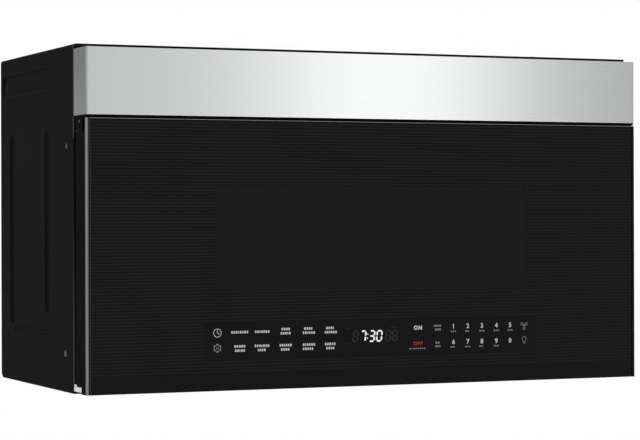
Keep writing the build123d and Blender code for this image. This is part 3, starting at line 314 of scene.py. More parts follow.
def mica_sheet():
    """Pressed mica: layered flakes of amber and silver."""
    finish = Finish("mica", (186, 166, 128), 0.5, gloss=0.5)
    flakes = finish.cells(260, "Color")
    finish.tint(flakes, (214, 200, 168), 0.8)
    finish.sheen(flakes, 0.32, 0.62)
    return finish.relief(finish.clouds(300), 0.05)


def laminated_core():
    """Varnished stack of thin steel plates."""
    finish = Finish("core_laminate", (96, 84, 70), 0.45, metallic=0.6)
    plates = finish.lines(1400, "Y")
    finish.tint(plates, (58, 50, 42), 0.8)
    finish.tint(finish.clouds(60), (128, 104, 72), 0.4)
    return finish.relief(plates, 0.1)


def circuit_board():
    """Solder-masked board with tracks and pads."""
    finish = Finish("board_green", (18, 74, 44), 0.4, gloss=0.5)
    tracks = finish.ramp(finish.lines(420, "X"), 0.62, 0.7)
    finish.tint(tracks, (34, 104, 62), 0.8)
    pads = finish.ramp(finish.cells(230), 0.12, 0.16, 1.0, 0.0)
    finish.tint(pads, (186, 188, 180), 0.9)
    return finish.relief(tracks, 0.04)


def black_glass():
    """Glass printed black on its rear face."""
    finish = Finish("door_black_glass", (9, 9, 10), 0.12, gloss=0.09)
    finish.tint(finish.clouds(5), (11, 11, 12), 0.7)
    finish.sheen(finish.clouds(20), 0.1, 0.15)
    return finish


def rib_print():
    """The fine raised lines over the black glass."""
    finish = Finish("glass_rib_satin", (22, 22, 23), 0.4, gloss=0.09)
    finish.tint(finish.clouds((30, 900, 900)), (27, 27, 28), 0.7)
    finish.sheen(finish.clouds((60, 900, 900)), 0.34, 0.46)
    return finish


def glass_edge():
    """Ground edge of the glass, with painted highlights on the left and along the top."""
    finish = Finish("ground_glass_edge", (30, 32, 32), 0.4, gloss=0.1)
    # Painted highlights on the left and top edges of the chamfer
    left_highlight, top_highlight = finish.axis_share("X", -373.6, -374.0), finish.axis_share("Z", 332.9, 333.2)
    finish.tint(finish.clouds(500), (40, 42, 42), 0.8)
    return finish.tint(left_highlight, (92, 94, 93)).tint(top_highlight, (168, 172, 170))


def screen_print(name, colour):
    """Touch legends printed on the glass."""
    finish = Finish(name, colour, 0.5, gloss=0.2)
    finish.tint(finish.clouds(800), tuple(0.88 * level for level in colour), 0.8)
    return finish


def felt():
    """Black felt: short fibres over a soft ground."""
    finish = Finish("shade_felt", (18, 18, 19), 0.95, gloss=0.02)
    fibres = finish.clouds((900, 2600, 2600), 4.0)
    finish.tint(fibres, (34, 34, 35), 0.7)
    return finish.relief(fibres, 0.15)


def lit_segment():
    """Bars of the clock that shine."""
    finish = Finish("lit_segments", (236, 240, 242), 0.4, gloss=0.2)
    finish.tint(finish.clouds(700), (214, 220, 224), 0.5)
    finish.hold("Emission Color", ink(226, 232, 236))
    finish.hold("Emission Strength", 0.5)
    return finish


# Each finish has its slot's name. The values: colour, other shade, roughness, then what sets it apart
finishes = {finish.name: finish.material for finish in (
    case_paint(),
    galvanised(),
    brushed_band(),
    moulded("black_plastic", (15, 15, 16), (20, 20, 21), 0.55, 0.003),
    bare_metal("zinc_plate", (206, 208, 210), (222, 222, 219), 0.36),
    painted("hinge_black", (17, 17, 18), (22, 22, 23), 0.5, 0.007),
    painted("black_screws", (44, 44, 46), (66, 66, 68), 0.4, 0.3),
    charcoal_granules(),
    filter_metal(),
    clear("lamp_lens", (232, 233, 228), 0.4, 0.75, 1.58),
    moulded("lamp_white", (224, 223, 216), (212, 211, 204), 0.5),
    bare_metal("motor_steel", (150, 151, 153), (172, 173, 174), 0.4, (20, 20, 400)),
    moulded("fan_plastic", (42, 44, 46), (52, 54, 56), 0.5),
    enamel(),
    mica_sheet(),
    bare_metal("tube_steel", (168, 170, 173), (186, 187, 188), 0.35, (12, 300, 300)),
    laminated_core(),
    moulded("diode_black", (26, 26, 28), (34, 34, 36), 0.4),
    circuit_board(),
    bare_metal("heater_sheath", (104, 100, 98), (132, 122, 110), 0.5, (80, 80, 80)),
    bare_metal("fan_steel", (160, 162, 164), (182, 183, 184), 0.38, (200, 12, 200)),
    moulded("interlock_plastic", (226, 224, 216), (214, 212, 204), 0.48),
    moulded("switch_black", (30, 30, 32), (38, 38, 40), 0.5),
    moulded("plunger_red", (176, 34, 30), (156, 30, 28), 0.42),
    black_glass(),
    anodised_trim(),
    painted("door_steel", (26, 26, 28), (34, 34, 36), 0.5, 0.2),
    clear("window_pane", (150, 154, 152), 0.02, 0.9),
    moulded("display_black", (13, 13, 14), (17, 17, 18), 0.35, 0.2),
    clear("tray_glass", (214, 228, 222), 0.03, 1.0),
    moulded("drive_plastic", (226, 222, 212), (214, 210, 200), 0.5),
)}
shade_felt = felt().material
smoked_glass = clear("smoked_window_glass", (26, 27, 28), 0.03, 0.9, ior=1.23).material
rib_satin = rib_print().material
ground_edge = glass_edge().material
legend_white = screen_print("legend_white", (240, 241, 241)).material
legend_grey = screen_print("legend_grey", (164, 165, 165)).material
legend_red = screen_print("legend_red", (204, 66, 46)).material
segment_lit = lit_segment().material
segment_unlit = screen_print("unlit_segments", (40, 41, 42)).material

slot_of = {subpart["node"]: subpart["material_slot"] for subpart in frame["record"]["subparts"]}
for node_name, node_object in frame["nodes"].items():
    node_object.data.materials.clear()
    node_object.data.materials.append(finishes[slot_of[node_name]])


# ---------------------------------------------------------------- mesh helpers
def placed(name, data):
    """Puts data into the scene as an object."""
    holder = bpy.data.objects.new(name, data)
    scene.collection.objects.link(holder)
    return holder


def plain_mesh(source):
    """The shape that an object's curve or modifiers make, as a mesh of its own."""
    bpy.context.view_layer.update()
    return bpy.data.meshes.new_from_object(source.evaluated_get(bpy.context.evaluated_depsgraph_get()))


def ring_points(left, right, low, high, radius, inset=0.0):
    """Points round a rectangle with rounded corners, as pairs, drawn in from its limits by an inset."""
    steps = 6
    near, far = radius + inset, -radius - inset
    points = []
    for centre_u, centre_v, start in ((right + far, low + near, -90), (right + far, high + far, 0),
                                      (left + near, high + far, 90), (left + near, low + near, 180)):
        for step in range(steps + 1):
            angle = radians(start + 90 * step / steps)
            points.append((centre_u + radius * cos(angle), centre_v + radius * sin(angle)))
    return points


def upright(points, y):
    """Puts a flat outline in the plane of the door, at depth y."""
    return [(u, y, v) for u, v in points]


def flat(points, z):
    """Puts a flat outline in a level plane, at height z."""
    return [(u, v, z) for u, v in points]


def sideways(points, x):
    """Puts a flat outline in a plane of the casing's side, at x."""
    return [(x, u, v) for u, v in points]


def sleeve(bm, loops, hollow=False, finish=0, capped=True, unit=MM):
    """Joins outlines of equal count in turn: a closed ring if hollow, else a body with caps, or open ends."""
    rows = [[bm.verts.new(Vector(point) * unit) for point in loop] for loop in loops]
    pairs = list(zip(rows, rows[1:])) + ([(rows[-1], rows[0])] if hollow else [])
    for first, second in pairs:
        for index in range(len(first)):
            following = (index + 1) % len(first)
            face = bm.faces.new((first[index], first[following], second[following], second[index]))
            face.material_index = finish
    if capped and not hollow:
        for row in (rows[0], rows[-1]):
            bm.faces.new(row).material_index = finish
    return rows


def brick(bm, x_limits, y_limits, z_limits, finish=0):
    """A small block given by its limits."""
    corners = [(x_limits[0], y_limits[0]), (x_limits[1], y_limits[0]),
               (x_limits[1], y_limits[1]), (x_limits[0], y_limits[1])]
    sleeve(bm, [flat(corners, z_limits[0]), flat(corners, z_limits[1])], finish=finish)


def made(name, bm, *materials):
    """Turns a mesh under construction into a piece, with its faces outwards."""
    bmesh.ops.recalc_face_normals(bm, faces=bm.faces)
    mesh = bpy.data.meshes.new(name)
    bm.to_mesh(mesh)
    bm.free()
    for material in materials:
        mesh.materials.append(material)
    return placed(name, mesh)


def joined(name, pieces):
    """Makes one mesh of several finished ones and keeps their materials."""
    bm = bmesh.new()
    materials = []
    for piece in pieces:
        before = len(bm.faces)
        bm.from_mesh(piece.data)
        bm.faces.ensure_lookup_table()
        own = list(piece.data.materials)
        materials += [material for material in own if material not in materials]
        for face in bm.faces[before:]:
            face.material_index = materials.index(own[face.material_index])
        bpy.data.objects.remove(piece)
    bmesh.ops.remove_doubles(bm, verts=bm.verts, dist=0.001 * MM)
    return made(name, bm, *materials)


# ---------------------------------------------------------------- Geometry Nodes
def new_tree(name, inputs):
    """An empty tree with named inputs. Gives back the tree, its input sockets and its stepper."""
    tree = bpy.data.node_groups.new(name, "GeometryNodeTree")
    for label, kind in inputs:
        tree.interface.new_socket(label, in_out="INPUT", socket_type="NodeSocket" + kind)
    tree.interface.new_socket("Geometry", in_out="OUTPUT", socket_type="NodeSocketGeometry")
    return tree, tree.nodes.new("NodeGroupInput").outputs, stepper(tree)


def finish_tree(tree, step, points, given, **instance):
    """Ends a tree: instances on the points, realized, with their material set."""
    cell = step("GeometryNodeObjectInfo", Object=given["Cell"])
    cells = step("GeometryNodeInstanceOnPoints", Points=points, Instance=cell.outputs["Geometry"], **instance)
    real = step("GeometryNodeRealizeInstances", Geometry=cells.outputs[0])
    coated = step("GeometryNodeSetMaterial", Geometry=real.outputs[0], Material=given["Finish"])
    step("NodeGroupOutput", _0=coated.outputs[0])
    return tree


def rows_tree():
    """One cell repeated in columns and rows, with every other row shifted."""
    tree, given, step = new_tree("columns_and_rows", [
        ("Cell", "Object"), ("Start", "Vector"), ("Column Step", "Vector"), ("Row Step", "Vector"),
        ("Columns", "Int"), ("Rows", "Int"), ("Row Shift", "Float"), ("Cell Scale", "Vector"),
        ("Finish", "Material")])

    def calculated(operation, first, second):
        return step("ShaderNodeMath", operation, _0=first, _1=second).outputs[0]

    index = step("GeometryNodeInputIndex").outputs[0]
    column = calculated("MODULO", index, given["Columns"])
    # The small share keeps a whole quotient from falling into the row below
    quotient = calculated("ADD", calculated("DIVIDE", index, given["Columns"]), 0.0001)
    row = step("ShaderNodeMath", "FLOOR", _0=quotient).outputs[0]
    across = calculated("ADD", column, calculated("MULTIPLY", calculated("MODULO", row, 2.0), given["Row Shift"]))
    along_row = step("ShaderNodeVectorMath", "SCALE", _0=given["Column Step"], Scale=across).outputs[0]
    up_rows = step("ShaderNodeVectorMath", "SCALE", _0=given["Row Step"], Scale=row).outputs[0]
    offset = step("ShaderNodeVectorMath", "ADD", _0=along_row, _1=up_rows).outputs[0]
    place = step("ShaderNodeVectorMath", "ADD", _0=offset, _1=given["Start"]).outputs[0]
    count = calculated("MULTIPLY", given["Columns"], given["Rows"])
    points = step("GeometryNodePoints", Count=count, Position=place).outputs[0]
    return finish_tree(tree, step, points, given, Scale=given["Cell Scale"])


def marks_tree():
    """One cell on each marked place, turned to its mark's facing and scaled by its size."""
    tree, given, step = new_tree("on_marked_places", [
        ("Marks", "Object"), ("Cell", "Object"), ("Finish", "Material")])
    marks = step("GeometryNodeObjectInfo", Object=given["Marks"]).outputs["Geometry"]
    points = step("GeometryNodeMeshToPoints", Mesh=marks).outputs[0]
    facing, size = [step("GeometryNodeInputNamedAttribute", data_type="FLOAT_VECTOR", Name=name).outputs["Attribute"]
                    for name in ("facing", "size")]
    turn = step("FunctionNodeAlignRotationToVector", axis="Z", Vector=facing).outputs[0]
    return finish_tree(tree, step, points, given, Rotation=turn, Scale=size)


repeat = rows_tree()
on_marks = marks_tree()


def grown(name, tree, inputs):
    """Runs a tree and keeps its result as a plain mesh."""
    piece = placed(name, bpy.data.meshes.new(name + "_seed"))
    modifier = piece.modifiers.new("grow", "NODES")
    modifier.node_group = tree
    for item in tree.interface.items_tree:
        if item.in_out == "INPUT" and item.name in inputs:
            modifier[item.identifier] = inputs[item.name]
    mesh = plain_mesh(piece)
    piece.modifiers.remove(modifier)
    piece.data = mesh
    mesh.name = name
    return piece


def metres(*values):
    """A vector of millimetres in metres."""
    return tuple(value * MM for value in values)


def field(name, cell, material, start, column_step, row_step, columns, rows, shift=0.0, scale=(1.0, 1.0, 1.0)):
    """A field of cells from the repeating tree, sizes in millimetres."""
    return grown(name, repeat, {
        "Cell": cell, "Start": metres(*start), "Column Step": metres(*column_step), "Row Step": metres(*row_step),
        "Columns": columns, "Rows": rows, "Row Shift": shift, "Cell Scale": scale, "Finish": material})


# ---------------------------------------------------------------- door glass
def outer_glass():
    """Black glass with its ground chamfer, and an opening where the clear window is."""
    bm = bmesh.new()
    outline = ring_points(*glass_limits, 0.8)
    front_outline = ring_points(*glass_limits, 0.6, glass_chamfer)
    opening = ring_points(*window_limits, window_radius)
    rows = sleeve(bm, [upright(outline, glass_back), upright(outline, glass_face + glass_chamfer),
                       upright(front_outline, glass_face), upright(opening, glass_face),
                       upright(opening, glass_back)], hollow=True)
    chamfer_corners = set(rows[1]) | set(rows[2])
    for face in bm.faces:
        if set(face.verts) <= chamfer_corners:
            face.material_index = 1
    glass = made("outer_glass", bm, finishes["door_black_glass"], ground_edge)
    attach(glass, "door")
    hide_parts("door_glass")


def window_glass():
    """The smoked window within the black glass."""
    bm = bmesh.new()
    outline = ring_points(*window_limits, window_radius, inset=0.03)
    sleeve(bm, [upright(outline, glass_back), upright(outline, glass_face)])
    window = made("smoked_window", bm, smoked_glass)
    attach(window, "door")


def glass_ribs():
    """Fine level ribs over the glass, left out over the window and the touch legends."""
    bm = bmesh.new()
    section = [(0.0, -0.5), (0.0, 0.5), (-1.0, 0.34), (-1.0, -0.34)]
    sleeve(bm, [sideways(section, end) for end in (-0.5, 0.5)], unit=1.0)
    cell = made("rib_cell", bm)
    zones = ((0, 4, rib_left, rib_right), (4, 16, rib_left, controls_left), (4, 16, controls_right, rib_right),
             (16, 26, rib_left, rib_right), (26, 59, rib_left, window_left), (26, 59, window_right, rib_right),
             (59, 79, rib_left, rib_right))
    rib_foot = glass_face + 0.02
    pieces = []
    for first, last, left, right in zones:
        start = ((left + right) / 2, rib_foot, rib_first + rib_width / 2 + first * rib_pitch)
        scale = metres(right - left, rib_foot - rib_face, rib_width)
        pieces.append(field("ribs", cell, rib_satin, start, (0, 0, 0), (0, 0, rib_pitch), 1, last - first,
                            scale=scale))
    bpy.data.objects.remove(cell)
    ribs = joined("glass_ribs", pieces)
    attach(ribs, "door")


# ---------------------------------------------------------------- touch legends and clock
legend_depth = (glass_face - 0.05, glass_face + 0.02)
bright, dim = 0, 1
pinhole = 0.0001
figure_size, figure_middle = 8.2, 0.34


def lettering(text, x, z, size, material, boldness=0.18, spacing=1.0, turned=False):
    """Plain figures or words on the glass, turned upside down where asked."""
    half_print = 0.03
    curve = bpy.data.curves.new("legend", "FONT")
    curve.body = text
    curve.size = size * MM
    curve.space_character = spacing
    curve.align_x = curve.align_y = "CENTER"
    curve.extrude = half_print * MM
    curve.offset = boldness * MM
    source = placed("legend", curve)
    mesh = plain_mesh(source)
    bpy.data.objects.remove(source)
    if turned:
        mesh.transform(Matrix.Translation(metres(0.0, 2 * figure_middle, 0.0)) @ Matrix.Rotation(pi, 4, "Z"))
    mesh.transform(Matrix.Translation(metres(x, legend_depth[0] + half_print, z)) @ Matrix.Rotation(pi / 2, 4, "X"))
    mesh.materials.clear()
    mesh.materials.append(material)
    return placed("legend", mesh)


def dashes(bm, centre_x, centre_z, width, height, finish=bright):
    """A word-like row of short strokes of uneven width."""
    widths = (2.0, 1.7, 2.1, 1.2, 2.0, 1.8, 2.2, 1.9)
    gap, slack = 1.05, 0.2
    x = centre_x - width / 2
    index = int(abs(centre_x) + abs(centre_z)) % len(widths)
    while x + widths[index] <= centre_x + width / 2 + slack:
        brick(bm, (x, x + widths[index]), legend_depth, (centre_z - height / 2, centre_z + height / 2), finish)
        x += widths[index] + gap
        index = (index + 1) % len(widths)


def arc_band(bm, centre, inner, outer, start, stop, steps, finish=bright):
    """A flat piece of a ring, or a whole ring. A disc is a ring round a pinhole."""
    whole = stop - start >= 360
    near, far = legend_depth
    angles = [radians(start + (stop - start) * step / steps) for step in range(steps if whole else steps + 1)]
    loops = [[(centre[0] + radius * cos(angle), y, centre[1] + radius * sin(angle)) for angle in angles]
             for radius, y in ((inner, near), (outer, near), (outer, far), (inner, far))]
    if whole:
        sleeve(bm, loops, hollow=True, finish=finish)
    else:
        sleeve(bm, list(zip(*loops)), finish=finish)


def stroke(bm, start, stop, width, finish=bright):
    """A straight flat stroke between two places on the glass."""
    along = Vector((stop[0] - start[0], stop[1] - start[1]))
    across = Vector((-along.y, along.x)).normalized() * width / 2
    corners = [(start[0] + across.x, start[1] + across.y), (stop[0] + across.x, stop[1] + across.y),
               (stop[0] - across.x, stop[1] - across.y), (start[0] - across.x, start[1] - across.y)]
    sleeve(bm, [upright(corners, legend_depth[0]), upright(corners, legend_depth[1])], finish=finish)


def icons(bm):
    """Clock and gear on the left, fan and lamp on the right."""
    clock, gear, fan, lamp = (-212.5, 72.6), (-212.5, 54.0), (213.0, 73.0), (213.0, 55.6)
    hand, line = 0.7, 0.6

    def from_middle(middle, start, stop, width, finish):
        stroke(bm, (middle[0] + start[0], middle[1] + start[1]), (middle[0] + stop[0], middle[1] + stop[1]),
               width, finish)

    arc_band(bm, clock, 4.6, 5.3, 0, 360, 32)
    for tip in ((0.0, 3.4), (2.3, -1.6)):
        from_middle(clock, (0.0, 0.0), tip, hand, bright)
    arc_band(bm, gear, 3.7, 4.3, 0, 360, 28, dim)
    arc_band(bm, gear, 1.2, 1.7, 0, 360, 16, dim)
    for tooth in range(6):
        arc_band(bm, gear, 4.2, 5.3, tooth * 60 + 14, tooth * 60 + 46, 4, dim)
    arc_band(bm, fan, pinhole, 1.0, 0, 360, 12, dim)
    for blade in range(3):
        turn = radians(blade * 120 + 30)
        tips = [(reach * cos(turn + lean), reach * sin(turn + lean))
                for reach, lean in ((1.0, 0.0), (4.0, 0.42), (5.6, 0.16), (5.6, -0.16), (4.0, -0.42))]
        for first, second in zip(tips, tips[1:] + tips[:1]):
            from_middle(fan, first, second, line, dim)
    arc_band(bm, lamp, 2.6, 3.2, -30, 210, 18, dim)
    for start, stop in (((-2.5, -1.4), (-1.3, -4.4)), ((2.5, -1.4), (1.3, -4.4)),
                        ((-1.3, -4.6), (1.3, -4.6)), ((-1.0, -5.8), (1.0, -5.8))):
        from_middle(lamp, start, stop, line, dim)


def touch_legends():
    """All printing of the control strip: icons, word-like rows, figures, ON and OFF."""
    line_gap = 5.2
    switch_x, timer_x = 60.0, 88.5
    figures_x = (110.4, 131.0, 151.3, 172.3, 192.3)
    bm = bmesh.new()
    icons(bm)
    # Each word's place, then the widths of its lines in the upper and in the lower row
    words = ((-183.0, (22.5,), (14.5, 13.0)), (-152.7, (20.5,), (21.5, 13.0)), (-121.8, (11.5, 14.0), (17.0, 13.0)),
             (-90.7, (13.0, 16.5), (16.5, 16.5)), (-61.0, (12.5, 16.5), (16.0, 12.5)))
    for x, upper, lower in words:
        for row, widths in ((upper_row, upper), (lower_row, lower)):
            for line, width in enumerate(widths):
                offset = 0.0 if len(widths) == 1 else line_gap / 2 - line_gap * line
                dashes(bm, x, row + offset, width, 3.0)
    dashes(bm, switch_x, 46.9, 24.5, 1.4, dim)
    for z, width in ((upper_row + 2.2, 12.5), (upper_row - 2.6, 9.0), (lower_row + 0.6, 7.0), (lower_row - 4.0, 8.0)):
        dashes(bm, timer_x, z, width, 2.4, dim)
    for x in figures_x:
        dashes(bm, x, upper_row - 5.6, 7.6, 1.7, dim)
        if x != figures_x[-1]:
            dashes(bm, x, lower_row - 5.4, 7.6, 1.7, dim)
    pieces = [made("marks", bm, legend_white, legend_grey)]
    for figures, z in (("12345", upper_row + 0.8), ("67890", lower_row + 0.8)):
        for figure, x in zip(figures, figures_x):
            # A turned 6 makes the 9, because the font's own 9 folds over itself
            turned = figure == "9"
            pieces.append(lettering("6" if turned else figure, x, z, figure_size, legend_white, turned=turned))
    pieces.append(lettering("ON", switch_x, upper_row, 6.6, legend_white, boldness=0.36, spacing=1.3))
    pieces.append(lettering("OFF", switch_x, lower_row, 6.2, legend_red, boldness=0.22, spacing=1.3))
    legends = joined("touch_legends", pieces)
    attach(legends, "door")


def clock_digits():
    """Slanted figures of the clock, seven bars each: the lit time and the unlit rest."""
    width, height, bar, bar_gap = 6.4, 12.8, 2.0, 0.9
    slant, low, colon_x = 0.12, 57.8, -11.2
    bars = {"a": ((0, 1), (1, 1)), "b": ((1, 1), (1, 0.5)), "c": ((1, 0.5), (1, 0)), "d": ((0, 0), (1, 0)),
            "e": ((0, 0.5), (0, 0)), "f": ((0, 1), (0, 0.5)), "g": ((0, 0.5), (1, 0.5))}
    bars_of = {"0": "abcdef", "3": "abcdg", "7": "abc", "8": "abcdefg"}
    bm = bmesh.new()
    for figure, origin, finish in (("8", -31.0, dim), ("7", -20.5, bright), ("3", -8.2, bright), ("0", 1.8, bright),
                                   ("8", 14.0, dim), ("8", 23.6, dim)):
        for name in bars_of[figure]:
            start, stop = [(origin + u * width + slant * v * height, low + v * height) for u, v in bars[name]]
            along = (Vector(stop) - Vector(start)).normalized() * bar_gap
            stroke(bm, (start[0] + along.x, start[1] + along.y), (stop[0] - along.x, stop[1] - along.y), bar, finish)
    for share in (0.3, 0.7):
        dot = (colon_x + slant * share * height, low + share * height)
        arc_band(bm, dot, pinhole, 0.8, 0, 360, 10)
    for x, z, length in ((-36.0, 74.4, 7.0), (-38.5, 55.0, 5.0), (26.0, 74.4, 9.0), (12.0, 55.0, 6.0)):
        dashes(bm, x, z, length, 1.1, dim)
    digits = made("clock_digits", bm, segment_lit, segment_unlit)
    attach(digits, "door")


# ---------------------------------------------------------------- window screen
def window_screen():
    """Finely pierced steel behind the window, with its plain border."""
    pitch, hole_radius = 4.4, 1.5
    columns, rows = 98, 30
    low_y, high_y = -161.3, -160.5
    half_width, half_height, middle_z = 222.0, 72.5, 188.5
    half = pitch / 2
    ways = [(cos(radians(angle)), sin(radians(angle))) for angle in range(0, 360, 45)]
    square = [(half * u / max(abs(u), abs(v)), half * v / max(abs(u), abs(v))) for u, v in ways]
    circle = [(hole_radius * u, hole_radius * v) for u, v in ways]

    def sheet_between(bm, open_edge, walled_edge):
        sleeve(bm, [upright(open_edge, low_y), upright(walled_edge, low_y), upright(walled_edge, high_y),
                    upright(open_edge, high_y)], capped=False)

    bm = bmesh.new()
    sheet_between(bm, square, circle)
    cell = made("screen_cell", bm)
    start = (-pitch * (columns - 1) / 2, 0.0, middle_z - pitch * (rows - 1) / 2)
    black = finishes["door_steel"]
    pierced = field("pierced", cell, black, start, (pitch, 0, 0), (0, 0, pitch), columns, rows)
    bpy.data.objects.remove(cell)
    # The border meets the field point for point, half a pitch apart all round
    half_way = [(step, -rows) for step in range(-columns, columns)] + [(columns, step) for step in range(-rows, rows)]
    around = half_way + [(-u, -v) for u, v in half_way]
    bm = bmesh.new()
    sheet_between(bm, [(u * half, middle_z + v * half) for u, v in around],
                  [(u * half_width / columns, middle_z + v * half_height / rows) for u, v in around])
    border = made("screen_border", bm, black)
    screen = joined("pierced_window_screen", [pierced, border])
    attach(screen, "door")
    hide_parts("window_screen")


# ---------------------------------------------------------------- underside
def grease_filters():
    """Filter frames with layers of expanded metal and a pull tab each."""
    strand = 0.5
    half_width, half_depth, centre_y = 115.0, 65.0, 65.0
    rim_face, rim_edge, frame_back = 1.25, 2.0, 7.0
    mesh_width, mesh_depth = 212, 112
    tab_half = 14
    # One diamond of the mesh, a unit wide, with its strands on the slant
    bm = bmesh.new()
    outer = [(0.505, 0), (0, 0.505), (-0.505, 0), (0, -0.505)]
    inner = [(0.71 * u, 0.71 * v) for u, v in outer]
    sleeve(bm, [flat(outer, 0), flat(inner, 0.7), flat(inner, 1.5), flat(outer, 0.8)], hollow=True, unit=1.0)
    cell = made("mesh_cell", bm)
    metal = finishes["filter_aluminium"]
    pieces = []
    for centre_x in (-135.0, 135.0):
        for layer_z, slip, width, depth in ((1.7, 0.0, 15.2, 8.4), (3.6, 0.0, 9.2, 5.2), (5.2, 2.3, 9.2, 5.2)):
            columns, rows = round(mesh_width / width), round(mesh_depth / (depth / 2))
            start = (centre_x - width * (columns - 0.5) / 2 + slip, centre_y - depth / 2 * (rows - 1) / 2, layer_z)
            pieces.append(field("mesh_layer", cell, metal, start, (width, 0, 0), (0, depth / 2, 0), columns, rows,
                                shift=0.5, scale=metres(width, depth, strand)))
        bm = bmesh.new()
        limits = (centre_x - half_width, centre_x + half_width, centre_y - half_depth, centre_y + half_depth)
        outside, inside = ring_points(*limits, 5.0), ring_points(*limits, 3.5, 8.5)
        sleeve(bm, [flat(outside, rim_edge), flat(ring_points(*limits, 4.4, 0.8), rim_face),
                    flat(ring_points(*limits, 4.0, 7.6), rim_face), flat(inside, 1.8), flat(inside, frame_back),
                    flat(outside, frame_back)], hollow=True)
        tab_limits = (centre_x - tab_half, centre_x + tab_half, centre_y - 56.3, centre_y - 45.0)
        tab, tab_edge = ring_points(*tab_limits, 3.0), ring_points(*tab_limits, 2.4, 0.6)
        sleeve(bm, [flat(tab_edge, 0.2), flat(tab, 0.5), flat(tab, 1.3), flat(tab_edge, 1.6)])
        tab_root = ring_points(centre_x - tab_half, centre_x + tab_half, centre_y - 57, centre_y - 54, 1.0)
        sleeve(bm, [flat(tab_root, 1.0), flat(tab_root, 2.4)])
        pieces.append(made("filter_frame", bm, metal))
    bpy.data.objects.remove(cell)
    filters = joined("expanded_metal_filters", pieces)
    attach(filters, "housing")
    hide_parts("grease_filter_left", "grease_filter_right")


def lens_prisms():
    """Fine prisms under the lens of the cooktop light."""
    bm = bmesh.new()
    section = [(-0.5, 0.0), (0.5, 0.0), (0.0, -1.0)]
    sleeve(bm, [upright(section, end) for end in (-0.5, 0.5)], unit=1.0)
    cell = made("prism_cell", bm)
    count, pitch = 54, 3.0
    width, length, depth = 2.6, 31.0, 0.36
    lens_y, lens_face = -90.0, 0.42
    prisms = field("lens_prisms", cell, finishes["lamp_lens"], (-pitch * (count - 1) / 2, lens_y, lens_face),
                   (pitch, 0, 0), (0, 0, 0), count, 1, scale=metres(width, length, depth))
    bpy.data.objects.remove(cell)
    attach(prisms, "housing")


# ---------------------------------------------------------------- door gap and hinge
def gap_felt():
    """Dark felt strip under the sill, a dark sheet that keeps the gap over the door in shade."""
    bm = bmesh.new()
    limits = (-374.4, 378.4, -186.2, -173.8)
    under, over, chamfer = 334.0, 334.85, 0.25
    full = ring_points(*limits, 1.4)
    sleeve(bm, [flat(ring_points(*limits, 1.0, 0.8), under), flat(full, under + chamfer), flat(full, over)])
    # Painted shade: a dark strip put in the gap over the door
    strip = made("gap_felt", bm, shade_felt)
    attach(strip, "housing")


def hinge_ear():
    """Turned-up ear at the outer edge of the lower hinge leaf, below the door's rear part."""
    bm = bmesh.new()
    outer, inner = -379.0, -378.1
    outline = [(-149.4, 9.0), (-139.6, 9.0), (-139.6, 11.4), (-140.0, 11.8), (-147.6, 11.8), (-149.4, 10.6)]
    sleeve(bm, [sideways(outline, outer), sideways(outline, inner)])
    ear = made("hinge_ear", bm, finishes["zinc_plate"])
    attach(ear, "housing")


def hinge_cheek():
    """Side plate that stands on the upper hinge leaf, with its hole and its rivet, over the door's corner."""
    bm = bmesh.new()
    inner, outer, head = -378.0, -378.9, -379.3
    outline = ring_points(-174.5, -146.5, 320.3, 333.9, 1.5)
    hole = ring_points(-165.0, -161.4, 322.0, 325.6, 1.8)
    sleeve(bm, [sideways(outline, outer), sideways(hole, outer), sideways(hole, inner), sideways(outline, inner)],
           hollow=True)
    rivet = (-164.6, -160.8, 328.2, 332.0)
    foot, crown = ring_points(*rivet, 1.9), ring_points(*rivet, 1.3, 0.6)
    sleeve(bm, [sideways(foot, outer + 0.2), sideways(foot, outer - 0.1), sideways(crown, head)], finish=1)
    cheek = made("hinge_cheek", bm, finishes["black_plastic"], finishes["black_screws"])
    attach(cheek, "housing")


# ---------------------------------------------------------------- screws
def screw_head():
    """A pan head of unit radius and height with a cross recess and a short shank."""
    around = 24
    profile = ((0.45, -1.4), (0.45, 0.02), (1.0, 0.0), (0.99, 0.35), (0.9, 0.72), (0.72, 0.93), (0.6, 1.0))
    arm, reach, recess_taper, recess_floor = 0.1, 0.42, 0.8, -0.6
    ways = [(cos(2 * pi * step / around), sin(2 * pi * step / around)) for step in range(around)]
    bm = bmesh.new()
    rings = sleeve(bm, [[(radius * u, radius * v, height) for u, v in ways] for radius, height in profile],
                   capped=False, unit=1.0)
    bm.faces.new(rings[0])
    cross = []
    for quarter in range(4):
        turn = Matrix.Rotation(quarter * pi / 2, 4, "Z")
        cross += [turn @ Vector((u, v, 1.0)) for u, v in ((arm, arm), (reach, arm), (reach, -arm))]
    cross.sort(key=lambda point: point.to_2d().angle_signed(Vector((1, 0))))
    foot = [(point.x * recess_taper, point.y * recess_taper, recess_floor) for point in cross]
    top, floor = sleeve(bm, [cross, foot], capped=False, unit=1.0)
    bm.faces.new(floor)
    rims = [edge for loop in (rings[-1], top) for edge in bm.edges if set(edge.verts) <= set(loop)]
    bmesh.ops.bridge_loops(bm, edges=rims)
    return made("head_cell", bm)


def screws(name, places, material, node):
    """Screw heads on marked places: place, facing, radius and height, in millimetres."""
    marks_mesh = bpy.data.meshes.new("marks")
    marks_mesh.from_pydata([metres(*place) for place, _, _, _ in places], [], [])
    facing = marks_mesh.attributes.new("facing", "FLOAT_VECTOR", "POINT")
    size = marks_mesh.attributes.new("size", "FLOAT_VECTOR", "POINT")
    for index, (_, way, radius, rise) in enumerate(places):
        facing.data[index].vector = way
        size.data[index].vector = metres(radius, radius, rise)
    marks = placed("marks", marks_mesh)
    head = screw_head()
    heads = grown(name, on_marks, {"Marks": marks, "Cell": head, "Finish": material})
    for scratch in (marks, head):
        bpy.data.objects.remove(scratch)
    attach(heads, "housing")
    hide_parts(node)


